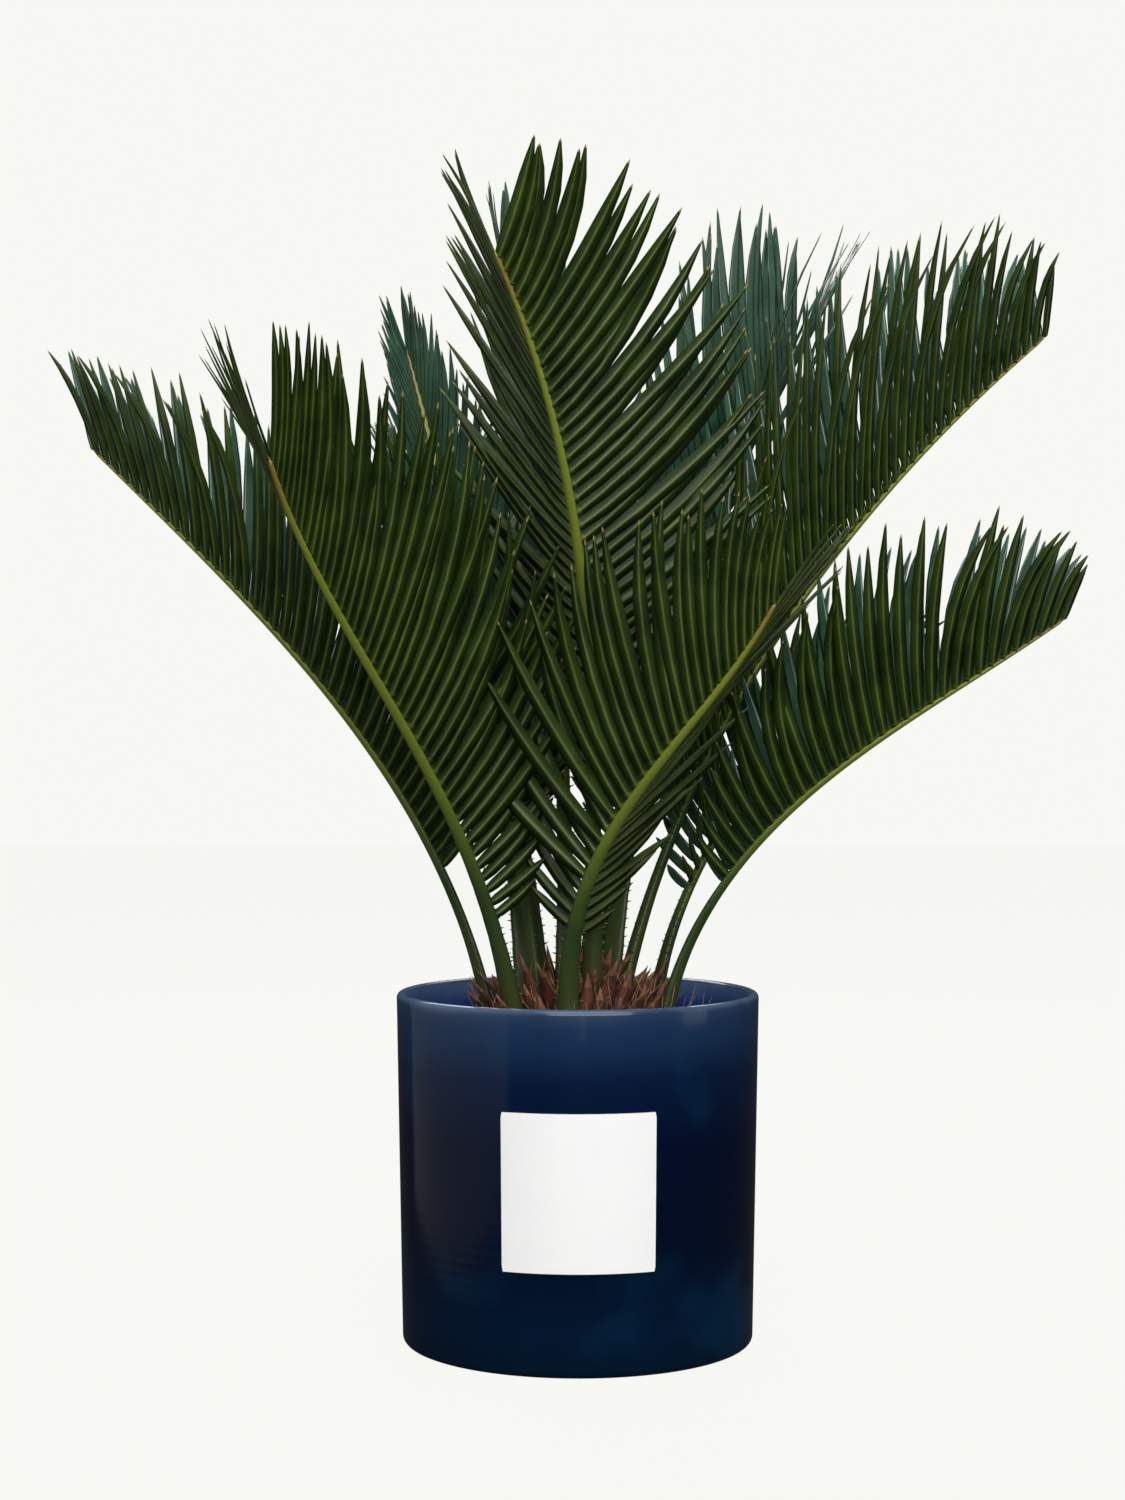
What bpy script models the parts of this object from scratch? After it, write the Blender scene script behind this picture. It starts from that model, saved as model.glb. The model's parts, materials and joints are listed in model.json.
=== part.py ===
"""A young cycad with thirteen arching, feather-shaped fronds, growing in a round glazed pot.

Units are metres and +Z is up. The origin is the centre of the pot's flat underside, and the
side with the paper label looks along -Y.
"""
import math
import random
from dataclasses import dataclass

import bmesh
import bpy
from mathutils import Vector
from mathutils.bvhtree import BVHTree

GAP = 0.0003
SEED = 7

POT_HEIGHT = 0.202
POT_RIM_RADIUS = 0.105
POT_BASE_RADIUS = 0.1015
POT_WALL = 0.006
POT_FLOOR = 0.009
POT_FOOT_ROUND = 0.004
POT_INNER_ROUND = 0.006
POT_SIDES = 60

LABEL_WIDTH_STEPS = 8
LABEL_LOW = 0.058
LABEL_HIGH = 0.1455
LABEL_THICKNESS = 0.0005

SOIL_TOP = 0.160
SOIL_EDGE_DROP = 0.004
SOIL_LEVEL_RADIUS = 0.071

CROWN_RADIUS = 0.059
CROWN_TOP = 0.188
CROWN_EDGE = 0.170
CROWN_SIDES = 24
SCALE_COUNT = 36
SCALE_HALF_WIDTH = 0.0055
SCALE_HALF_DEPTH = 0.0016
SCALE_SPREAD = 18.0
SCALE_HEIGHTS = (0.034, 0.052)
SCALE_ROOT_DEPTH = 0.006
SCALE_CLEARANCE = 0.0008
SCALE_CUTS = (1.0, 0.8, 0.6, 0.45)

RIB_STATIONS = 14
RIB_FINE_STEPS = 60
RIB_HALF_WIDTHS = ((0.0, 0.0078), (0.06, 0.0064), (0.15, 0.0051), (0.35, 0.0038), (0.70, 0.0025),
                   (1.0, 0.0011))
RIB_FLATNESS = 0.80

LEAFLET_SPACING = 0.0155
LEAFLET_HALF_WIDTH = 0.0047
LEAFLET_CROWDING = 0.40
LEAFLET_ROOT_SHARE = 0.45
LEAFLET_ROOT_ACROSS = 0.35
LEAFLET_ROOT_DEPTH = 0.25
LEAFLET_WIDEST = 0.52
LEAFLET_THICKNESS = 0.0016
LEAFLET_CURL = 20.0
LEAFLET_CURVE_STEPS = 10
LEAFLET_STAGGER = 0.22
LEAFLET_ANGLE_SPREAD = 1.5
LEAFLET_LENGTH_RANGE = (0.96, 1.03)
LEAFLET_FOOT_SHARE = 0.20
LEAFLET_CLEARANCE = 0.0007
LEAFLET_TURNS = (0.0, 7.0, -7.0, 14.0, -14.0, 22.0)
LEAFLET_CUTS = (1.0, 0.84, 0.68, 0.52)


@dataclass(frozen=True)
class Frond:
    """One frond's size and bearing. Angles are in degrees, and three values run foot, middle, tip."""

    name: str
    seat: tuple
    length: float
    leans: tuple
    headings: tuple
    leaflet: float
    vee: float = 42.0
    roll: float = 0.0
    forward: tuple = (70.0, 49.0, 16.0)
    bare: float = 0.30
    fullest: float = 0.40
    tip: float = 0.40


FRONDS = (
    Frond("frond_tall_front", (300, 0.016), 0.455, (3, 22, 37), (278, 258, 230), 0.150, vee=44,
          forward=(64, 62, 36), tip=0.42),
    Frond("frond_high_right", (30, 0.026), 0.492, (12, 34, 50), (14, 10, 6), 0.178, vee=55,
          forward=(44, 48, 52), bare=0.24, fullest=0.42, tip=0.28),
    Frond("frond_left", (184, 0.048), 0.420, (9, 38, 46), (184, 181, 176), 0.124, vee=55,
          forward=(66, 52, 30), bare=0.24, tip=0.52),
    Frond("frond_front_left", (218, 0.045), 0.400, (11, 42, 46), (234, 235, 258), 0.150, vee=55,
          forward=(68, 44, 16), bare=0.18, fullest=0.45, tip=0.50),
    Frond("frond_low_right", (344, 0.050), 0.345, (6, 50, 55), (350, 354, 356), 0.122, vee=62,
          forward=(70, 64, 34), bare=0.28, fullest=0.50, tip=0.28),
    Frond("frond_front_right", (262, 0.042), 0.297, (0, 41, 37), (268, 318, 309), 0.135, vee=40,
          roll=-20, bare=0.20),
    Frond("frond_back_right", (56, 0.033), 0.465, (5, 26, 38), (50, 49, 50), 0.160, vee=62, roll=22,
          forward=(50, 45, 32), fullest=0.60, tip=0.42),
    Frond("frond_back_left", (146, 0.036), 0.422, (4, 16, 24), (140, 134, 128), 0.100, vee=60,
          roll=-35, forward=(60, 38, 12)),
    Frond("frond_tall_back", (110, 0.020), 0.475, (0, 12, 24), (95, 112, 120), 0.120, vee=60,
          forward=(60, 38, 12)),
    Frond("frond_inner_left", (184, 0.024), 0.330, (0, 22, 40), (190, 196, 200), 0.120, vee=45),
    Frond("frond_inner_right", (16, 0.045), 0.280, (5, 38, 60), (20, 18, 10), 0.090, vee=50),
    Frond("frond_rear_left", (118, 0.046), 0.420, (4, 36, 52), (118, 112, 104), 0.130, vee=45),
    Frond("frond_rear_right", (70, 0.048), 0.400, (6, 40, 56), (74, 79, 84), 0.130, vee=45),
)


def through_three(values, share):
    """Value at share of the parabola through three values given at 0, 0.5 and 1."""
    low, middle, high = values
    weights = ((2 * share - 1) * (share - 1), 4 * share * (1 - share), share * (2 * share - 1))
    return low * weights[0] + middle * weights[1] + high * weights[2]


def along(knots, share):
    """Value at share on the straight stretches between (share, value) knots."""
    for (start, low), (end, high) in zip(knots, knots[1:]):
        if share <= end:
            return low + (high - low) * (share - start) / (end - start)
    return knots[-1][1]


def pot_outer_radius(height):
    """Radius of the pot's straight outer side at a height."""
    return POT_BASE_RADIUS + (POT_RIM_RADIUS - POT_BASE_RADIUS) * height / POT_HEIGHT


def crown_height(radius):
    """Height of the stem's domed top at a distance from its axis."""
    return CROWN_TOP - (CROWN_TOP - CROWN_EDGE) * (radius / CROWN_RADIUS) ** 2


def clear_scene():
    """Remove every object that the file already holds."""
    for thing in list(bpy.data.objects):
        bpy.data.objects.remove(thing, do_unlink=True)


def make_material(name, colour, roughness, metallic=0.0):
    """A Principled BSDF material with a plain colour."""
    material = bpy.data.materials.new(name)
    material.use_nodes = True
    shader = material.node_tree.nodes["Principled BSDF"]
    shader.inputs["Base Color"].default_value = (*colour, 1.0)
    shader.inputs["Roughness"].default_value = roughness
    shader.inputs["Metallic"].default_value = metallic
    return material


def add_object(name, vertices, faces, collection=None):
    """A mesh object with its normals turned outward."""
    mesh = bpy.data.meshes.new(name)
    mesh.from_pydata([tuple(v) for v in vertices], [], faces)
    shell = bmesh.new()
    shell.from_mesh(mesh)
    bmesh.ops.recalc_face_normals(shell, faces=shell.faces)
    shell.to_mesh(mesh)
    shell.free()
    thing = bpy.data.objects.new(name, mesh)
    (collection or bpy.context.scene.collection).objects.link(thing)
    return thing


def turned(name, profile, sides):
    """Spin a profile of (radius, height) points, whose ends lie on the axis, about Z."""
    shell = bmesh.new()
    points = [shell.verts.new((radius, 0.0, height)) for radius, height in profile]
    edges = [shell.edges.new(pair) for pair in zip(points, points[1:])]
    bmesh.ops.spin(shell, geom=points + edges, axis=(0, 0, 1), cent=(0, 0, 0), steps=sides,
                   angle=math.tau, use_merge=True)
    bmesh.ops.remove_doubles(shell, verts=shell.verts, dist=1e-6)
    bmesh.ops.recalc_face_normals(shell, faces=shell.faces)
    mesh = bpy.data.meshes.new(name)
    shell.to_mesh(mesh)
    shell.free()
    thing = bpy.data.objects.new(name, mesh)
    bpy.context.scene.collection.objects.link(thing)
    return thing


def arc(centre, radius, start, end, steps):
    """Points of a profile's arc; angles in degrees, 0 outward and 90 up."""
    points = []
    for index in range(steps + 1):
        angle = math.radians(start + (end - start) * index / steps)
        points.append((centre[0] + radius * math.cos(angle), centre[1] + radius * math.sin(angle)))
    return points


def finish(thing, parent, material, sharp_degrees=40.0):
    """Shade smooth up to an angle, give the material and hang the object on the parent."""
    thing.data.materials.clear()
    thing.data.materials.append(material)
    thing.data.shade_smooth()
    thing.data.set_sharp_from_angle(angle=math.radians(sharp_degrees))
    thing.parent = parent


def make_pot():
    """The round pot: rounded foot, straight flaring side, rounded lip and a flat floor."""
    lip = POT_WALL / 2
    lip_height = POT_HEIGHT - lip
    inner_foot = pot_outer_radius(POT_FLOOR) - POT_WALL
    profile = [(0.0, 0.0)]
    profile += arc((POT_BASE_RADIUS - POT_FOOT_ROUND, POT_FOOT_ROUND), POT_FOOT_ROUND, -90, 0, 2)
    profile += arc((pot_outer_radius(lip_height) - lip, lip_height), lip, 0, 180, 4)
    profile += arc((inner_foot - POT_INNER_ROUND, POT_FLOOR + POT_INNER_ROUND), POT_INNER_ROUND,
                   0, -90, 2)
    profile.append((0.0, POT_FLOOR))
    return turned("pot", profile, POT_SIDES)


def make_label():
    """The blank square paper label that follows the front of the pot."""
    step = math.tau / POT_SIDES
    first = -math.pi / 2 - step * LABEL_WIDTH_STEPS / 2
    vertices = []
    for depth in (GAP, GAP + LABEL_THICKNESS):
        for height in (LABEL_LOW, LABEL_HIGH):
            radius = pot_outer_radius(height) + depth
            for index in range(LABEL_WIDTH_STEPS + 1):
                angle = first + step * index
                vertices.append((radius * math.cos(angle), radius * math.sin(angle), height))
    row = LABEL_WIDTH_STEPS + 1
    inner_low, inner_high, outer_low, outer_high = (row * index for index in range(4))
    faces = []
    for index in range(LABEL_WIDTH_STEPS):
        for near, far in ((inner_low, inner_high), (inner_high, outer_high),
                          (outer_high, outer_low), (outer_low, inner_low)):
            faces.append((near + index, near + index + 1, far + index + 1, far + index))
    for end in (0, LABEL_WIDTH_STEPS):
        faces.append((inner_low + end, inner_high + end, outer_high + end, outer_low + end))
    return add_object("paper_label", vertices, faces)


def inner_radius(height):
    """Radius of the pot's inner side at a height above its rounded inner corner."""
    foot = pot_outer_radius(POT_FLOOR) - POT_WALL
    low = POT_FLOOR + POT_INNER_ROUND
    top = POT_HEIGHT - POT_WALL / 2
    top_radius = pot_outer_radius(top) - POT_WALL
    return foot + (top_radius - foot) * (height - low) / (top - low)


def make_soil():
    """The potting soil that fills the pot to below its rim."""
    low = POT_FLOOR + POT_INNER_ROUND
    edge = SOIL_TOP - SOIL_EDGE_DROP
    profile = [(0.0, POT_FLOOR + GAP)]
    round_centre = (inner_radius(low) - POT_INNER_ROUND, low)
    profile += arc(round_centre, POT_INNER_ROUND - GAP, -90, 0, 2)
    profile.append((inner_radius(edge) - GAP, edge))
    profile.append((SOIL_LEVEL_RADIUS, SOIL_TOP))
    profile.append((0.0, SOIL_TOP))
    return turned("soil", profile, POT_SIDES)


class Spine:
    """The curved midrib of one frond."""

    def __init__(self, plan):
        self.plan = plan
        azimuth = math.radians(plan.seat[0])
        radius = plan.seat[1]
        foot = Vector((radius * math.cos(azimuth), radius * math.sin(azimuth), 0.0))
        step = plan.length / RIB_FINE_STEPS
        self.points = [foot]
        for index in range(RIB_FINE_STEPS):
            tangent = self.axes((index + 0.5) / RIB_FINE_STEPS)[0]
            self.points.append(self.points[-1] + tangent * step)
        lowest = min(corner.z - crown_height(math.hypot(corner.x, corner.y))
                     for corner in self.section(0.0))
        lift = Vector((0.0, 0.0, GAP - lowest))
        self.points = [point + lift for point in self.points]

    def axes(self, share):
        """Forward, upper and right-hand directions at a share of the length."""
        lean = math.radians(through_three(self.plan.leans, share))
        heading = math.radians(through_three(self.plan.headings, share))
        outward = Vector((math.cos(heading), math.sin(heading), 0.0))
        tangent = outward * math.sin(lean) + Vector((0.0, 0.0, math.cos(lean)))
        upper = Vector((0.0, 0.0, math.sin(lean))) - outward * math.cos(lean)
        side = tangent.cross(upper)
        roll = math.radians(self.plan.roll)
        upper = upper * math.cos(roll) + side * math.sin(roll)
        return tangent, upper, tangent.cross(upper)

    def point(self, share):
        """Place on the midrib at a share of the length."""
        place = min(share, 1.0) * RIB_FINE_STEPS
        index = min(int(place), RIB_FINE_STEPS - 1)
        return self.points[index].lerp(self.points[index + 1], place - index)

    def section(self, share, extra=0.0):
        """The five corners of the midrib's section, with its flat face up."""
        _, upper, side = self.axes(share)
        half = along(RIB_HALF_WIDTHS, share) + extra
        deep = half * RIB_FLATNESS
        place = self.point(share)
        corners = ((half, 0.3 * deep), (0.55 * half, -deep), (-0.55 * half, -deep),
                   (-half, 0.3 * deep), (0.0, 0.55 * deep))
        return [place + side * across + upper * up for across, up in corners]

    def shell(self, extra=0.0):
        """Vertices and faces of the whole midrib, from its cut foot to its point."""
        vertices = []
        faces = [tuple(range(5))]
        for index in range(RIB_STATIONS):
            vertices += self.section(index / RIB_STATIONS, extra)
        for index in range(RIB_STATIONS - 1):
            for corner in range(5):
                here = index * 5 + corner
                beside = index * 5 + (corner + 1) % 5
                faces.append((here, beside, beside + 5, here + 5))
        tip = len(vertices)
        vertices.append(self.point(1.0))
        for corner in range(5):
            faces.append((tip - 5 + corner, tip - 5 + (corner + 1) % 5, tip))
        return vertices, faces


def leaflet_share(plan, place):
    """A leaflet's length as a share of the longest, with place 0 lowest and 1 at the tip."""
    if place < plan.fullest:
        rise = math.sin(math.pi / 2 * place / plan.fullest)
        return LEAFLET_FOOT_SHARE + (1 - LEAFLET_FOOT_SHARE) * rise
    return 1 - (1 - plan.tip) * ((place - plan.fullest) / (1 - plan.fullest)) ** 2


def leaflet_shell(spine, share, hand, forward, vee, length, extra=0.0):
    """Vertices and faces of one leaflet: a narrow keeled blade that curls towards the tip."""
    tangent, upper, side = spine.axes(share)
    outward = side * (hand * math.cos(math.radians(vee))) + upper * math.sin(math.radians(vee))
    steps = LEAFLET_CURVE_STEPS
    half_rib = along(RIB_HALF_WIDTHS, share)
    root = side * (hand * LEAFLET_ROOT_ACROSS * half_rib) - upper * (LEAFLET_ROOT_DEPTH * half_rib)
    curve = [spine.point(share) + root]
    ways = []
    for index in range(steps):
        angle = math.radians(forward + LEAFLET_CURL * (0.4 - (index + 0.5) / steps))
        way = tangent * math.cos(angle) + outward * math.sin(angle)
        ways.append(way)
        curve.append(curve[-1] + way * (length / steps))
    middle = round(LEAFLET_WIDEST * steps)
    room = LEAFLET_CROWDING * LEAFLET_SPACING * math.sin(math.radians(forward))
    widest = min(LEAFLET_HALF_WIDTH, room)
    vertices = []
    for index, share_wide in ((0, LEAFLET_ROOT_SHARE), (middle, 1.0)):
        way = ways[index]
        across = (tangent - way * tangent.dot(way)).normalized()
        face = across.cross(way)
        if face.dot(upper) < 0:
            face = -face
        half = widest * share_wide + extra
        vertices.append(curve[index] + across * half + face * extra)
        vertices.append(curve[index] - across * half + face * extra)
        vertices.append(curve[index] - face * (LEAFLET_THICKNESS + extra))
    vertices.append(curve[-1] + ways[-1] * extra)
    faces = [(0, 1, 2)]
    for corner in range(3):
        beside = (corner + 1) % 3
        faces.append((corner, beside, beside + 3, corner + 3))
        faces.append((corner + 3, beside + 3, 6))
    return vertices, faces


def tree_of(shells):
    """A search tree over several shells at once."""
    vertices = []
    faces = []
    for shell_vertices, shell_faces in shells:
        shift = len(vertices)
        vertices += shell_vertices
        faces += [tuple(corner + shift for corner in face) for face in shell_faces]
    return BVHTree.FromPolygons(vertices, faces)


def grow_leaflets(spine, obstacles, dice):
    """Leaflets along both sides of a midrib, each turned, cut short or left out to stay clear."""
    plan = spine.plan
    count = round(plan.length * (1 - plan.bare) / LEAFLET_SPACING)
    shells = []
    for hand in (1, -1):
        for index in range(count):
            place = (index + 0.5 + LEAFLET_STAGGER * hand) / count
            share = plan.bare + (1 - plan.bare) * place
            forward = through_three(plan.forward, place)
            forward += dice.uniform(-LEAFLET_ANGLE_SPREAD, LEAFLET_ANGLE_SPREAD)
            length = plan.leaflet * leaflet_share(plan, place)
            length *= dice.uniform(*LEAFLET_LENGTH_RANGE)
            shell = clear_leaflet(spine, share, hand, forward, length, obstacles)
            if shell:
                shells.append(shell)
    return shells


def clear_leaflet(spine, share, hand, forward, length, obstacles):
    """The first turn and length of a leaflet that keeps off the obstacles, or None."""
    for cut in LEAFLET_CUTS:
        for turn in LEAFLET_TURNS:
            settings = (spine, share, hand, forward, spine.plan.vee + turn, length * cut)
            tree = tree_of([leaflet_shell(*settings, extra=LEAFLET_CLEARANCE)])
            if not any(tree.overlap(obstacle) for obstacle in obstacles):
                return leaflet_shell(*settings)
    return None


def unite(name, body, shells):
    """Join shells to a body with one Boolean union and drop loose scraps."""
    group = bpy.data.collections.new(name + "_pieces")
    bpy.context.scene.collection.children.link(group)
    for index, shell in enumerate(shells):
        add_object(f"{name}_{index}", *shell, collection=group)
    union = body.modifiers.new("join", "BOOLEAN")
    union.operation = "UNION"
    union.operand_type = "COLLECTION"
    union.collection = group
    union.solver = "EXACT"
    graph = bpy.context.evaluated_depsgraph_get()
    joined = bpy.data.meshes.new_from_object(body.evaluated_get(graph))
    body.modifiers.clear()
    body.data = joined
    joined.name = name
    for piece in list(group.objects):
        bpy.data.objects.remove(piece, do_unlink=True)
    bpy.data.collections.remove(group)
    keep_largest(joined)


def keep_largest(mesh):
    """Keep only the biggest connected body of a mesh, and weld points that coincide."""
    shell = bmesh.new()
    shell.from_mesh(mesh)
    bmesh.ops.remove_doubles(shell, verts=shell.verts, dist=1e-7)
    unseen = set(shell.faces)
    bodies = []
    while unseen:
        front = [unseen.pop()]
        body = []
        while front:
            face = front.pop()
            body.append(face)
            for edge in face.edges:
                for neighbour in edge.link_faces:
                    if neighbour in unseen:
                        unseen.discard(neighbour)
                        front.append(neighbour)
        bodies.append(body)
    bodies.sort(key=len)
    for body in bodies[:-1]:
        bmesh.ops.delete(shell, geom=body, context="FACES")
    shell.to_mesh(mesh)
    shell.free()


def scale_shell(radius, azimuth, lean, height, extra=0.0):
    """Vertices and faces of one pointed, dry scale standing on the stem's top."""
    outward = Vector((math.cos(azimuth), math.sin(azimuth), 0.0))
    sideways = Vector((-math.sin(azimuth), math.cos(azimuth), 0.0))
    vertices = []
    for share, wide in ((0.0, 1.0), (0.45, 0.85)):
        angle = lean * share
        place = outward * (radius + height * share * math.sin(angle))
        place.z = crown_height(radius) - SCALE_ROOT_DEPTH + (height + SCALE_ROOT_DEPTH) * share
        half = SCALE_HALF_WIDTH * wide + extra
        deep = SCALE_HALF_DEPTH + extra
        vertices += [place + sideways * half, place + outward * deep,
                     place - sideways * half, place - outward * deep]
    tip = outward * (radius + height * math.sin(lean))
    tip.z = crown_height(radius) + height + extra
    vertices.append(tip)
    faces = [(0, 1, 2, 3)]
    for corner in range(4):
        beside = (corner + 1) % 4
        faces.append((corner, beside, beside + 4, corner + 4))
        faces.append((corner + 4, beside + 4, 8))
    return vertices, faces


def make_stem(ribs):
    """The short domed stem with dry pointed scales between the stalks."""
    foot = SOIL_TOP + GAP
    profile = [(0.0, foot), (CROWN_RADIUS - 0.004, foot), (CROWN_RADIUS, foot + 0.004)]
    for share in (1.0, 0.85, 0.65, 0.4):
        profile.append((CROWN_RADIUS * share, crown_height(CROWN_RADIUS * share)))
    profile.append((0.0, CROWN_TOP))
    stem = turned("stem", profile, CROWN_SIDES)
    dice = random.Random(SEED)
    golden = math.pi * (3 - math.sqrt(5))
    shells = []
    for index in range(SCALE_COUNT):
        radius = (CROWN_RADIUS - 0.005) * math.sqrt((index + 0.5) / SCALE_COUNT)
        azimuth = golden * index
        lean = math.radians(SCALE_SPREAD * radius / CROWN_RADIUS)
        height = dice.uniform(*SCALE_HEIGHTS) * (1 - 0.4 * radius / CROWN_RADIUS)
        for cut in SCALE_CUTS:
            settings = (radius, azimuth, lean, height * cut)
            guard = scale_shell(*settings, extra=SCALE_CLEARANCE)
            if not tree_of([guard]).overlap(ribs):
                shells.append(scale_shell(*settings))
                break
    unite("stem", stem, shells)
    return stem


def main():
    """Build every part and hang it on one empty."""
    clear_scene()
    root = bpy.data.objects.new("potted_cycad", None)
    bpy.context.scene.collection.objects.link(root)

    finish(make_pot(), root, make_material("blue_glaze", (0.030, 0.065, 0.120), 0.15))
    finish(make_label(), root, make_material("white_paper", (0.82, 0.82, 0.80), 0.6))
    finish(make_soil(), root, make_material("dark_soil", (0.045, 0.030, 0.020), 0.95))

    spines = [Spine(plan) for plan in FRONDS]
    guards = [spine.shell(LEAFLET_CLEARANCE) for spine in spines]
    stem = make_stem(tree_of(guards))
    finish(stem, root, make_material("dry_scales", (0.22, 0.11, 0.06), 0.9))

    guard_trees = [tree_of([guard]) for guard in guards]
    grown = []
    for number, spine in enumerate(spines):
        others = [tree for place, tree in enumerate(guard_trees) if place != number]
        shells = grow_leaflets(spine, others + grown, random.Random(SEED + number))
        grown.append(tree_of(shells))
        frond = add_object(spine.plan.name, *spine.shell())
        unite(spine.plan.name, frond, shells)
        finish(frond, root, make_material(spine.plan.name + "_green", (0.045, 0.11, 0.025), 0.35))


main()
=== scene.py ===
"""The looks of a young potted cycad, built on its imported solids.

Every size is in metres, in the frame of the solids: +Z is up, and the side of the pot with the
paper label looks along -Y.
"""

import json
import logging
import math
import random
from dataclasses import dataclass
from enum import Enum
from typing import Iterable, Optional, Sequence

import bmesh
import bpy
from mathutils import Matrix, Vector, noise
from mathutils.bvhtree import BVHTree

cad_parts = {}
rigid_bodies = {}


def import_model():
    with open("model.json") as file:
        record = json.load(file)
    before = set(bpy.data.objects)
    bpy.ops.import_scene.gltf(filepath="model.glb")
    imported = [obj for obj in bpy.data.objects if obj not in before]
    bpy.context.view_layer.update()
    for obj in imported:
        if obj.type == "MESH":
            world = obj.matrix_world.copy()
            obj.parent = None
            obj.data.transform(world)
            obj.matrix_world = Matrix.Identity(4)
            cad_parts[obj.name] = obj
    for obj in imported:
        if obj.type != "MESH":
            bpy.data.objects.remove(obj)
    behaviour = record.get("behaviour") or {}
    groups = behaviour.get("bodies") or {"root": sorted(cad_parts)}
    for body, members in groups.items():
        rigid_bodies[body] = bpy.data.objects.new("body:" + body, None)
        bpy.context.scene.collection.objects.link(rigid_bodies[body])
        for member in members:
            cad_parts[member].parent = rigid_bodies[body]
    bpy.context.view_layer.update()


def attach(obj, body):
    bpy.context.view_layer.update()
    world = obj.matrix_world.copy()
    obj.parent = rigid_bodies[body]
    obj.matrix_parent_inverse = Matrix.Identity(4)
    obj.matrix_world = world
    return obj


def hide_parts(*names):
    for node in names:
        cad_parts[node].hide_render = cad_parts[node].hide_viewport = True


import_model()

LOG = logging.getLogger("cycad")
BODY = "root"
SEED = 7

Colour = tuple[float, float, float]
Shell = tuple[list[Vector], list[tuple[int, ...]]]
Socket = bpy.types.NodeSocket


def srgb(*values: int) -> Colour:
    """Turn a colour into linear light.

    Args:
        *values: Red, green and blue, 0 to 255.

    Returns:
        The three linear values.
    """
    shares = [value / 255.0 for value in values]
    return tuple(share / 12.92 if share <= 0.04045 else ((share + 0.055) / 1.055) ** 2.4
                 for share in shares)


def through_three(values: Sequence[float], share: float) -> float:
    """Read the parabola through three values that stand at 0, 0.5 and 1.

    Args:
        values: The values at the start, the middle and the end.
        share: Where to read it, 0 to 1.

    Returns:
        The value there.
    """
    weights = ((2 * share - 1) * (share - 1), 4 * share * (1 - share), share * (2 * share - 1))
    return sum(value * weight for value, weight in zip(values, weights))


def along(knots: Sequence[tuple[float, float]], share: float) -> float:
    """Read the straight stretches between knots.

    Args:
        knots: Pairs of a share and the value there, in order.
        share: Where to read them.

    Returns:
        The value there.
    """
    for (start, low), (end, high) in zip(knots, knots[1:]):
        if share <= end:
            return low + (high - low) * (share - start) / (end - start)
    return knots[-1][1]


# Node trees and finishes


class Graph:
    """A node tree, with short ways to add and join its nodes."""

    def __init__(self, tree: bpy.types.NodeTree) -> None:
        """Take over a tree."""
        self.tree = tree

    def feed(self, socket: Socket, value: object) -> None:
        """Fill an input.

        Args:
            socket: The input.
            value: A socket to link, or a value to set.
        """
        if isinstance(value, Socket):
            self.tree.links.new(value, socket)
        else:
            socket.default_value = (*value, 1.0) if socket.type == "RGBA" else value

    def node(self, kind: str, settings: Optional[dict[str, str]] = None,
             **inputs: object) -> bpy.types.Node:
        """Add a node and fill its inputs.

        Args:
            kind: The node's type.
            settings: Properties of the node, such as its operation.
            **inputs: Input names, with underscores for spaces, and what fills them.

        Returns:
            The new node.
        """
        made = self.tree.nodes.new(kind)
        for key, value in (settings or {}).items():
            setattr(made, key, value)
        for key, value in inputs.items():
            self.feed(made.inputs[key.replace("_", " ")], value)
        return made

    def math(self, operation: str, *values: object) -> Socket:
        """Work out a number.

        Args:
            operation: The Math node's operation.
            *values: Sockets or numbers, in the order of the node's inputs.

        Returns:
            The result's socket.
        """
        made = self.node("ShaderNodeMath", {"operation": operation})
        for socket, value in zip(made.inputs, values):
            self.feed(socket, value)
        return made.outputs["Value"]


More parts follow.
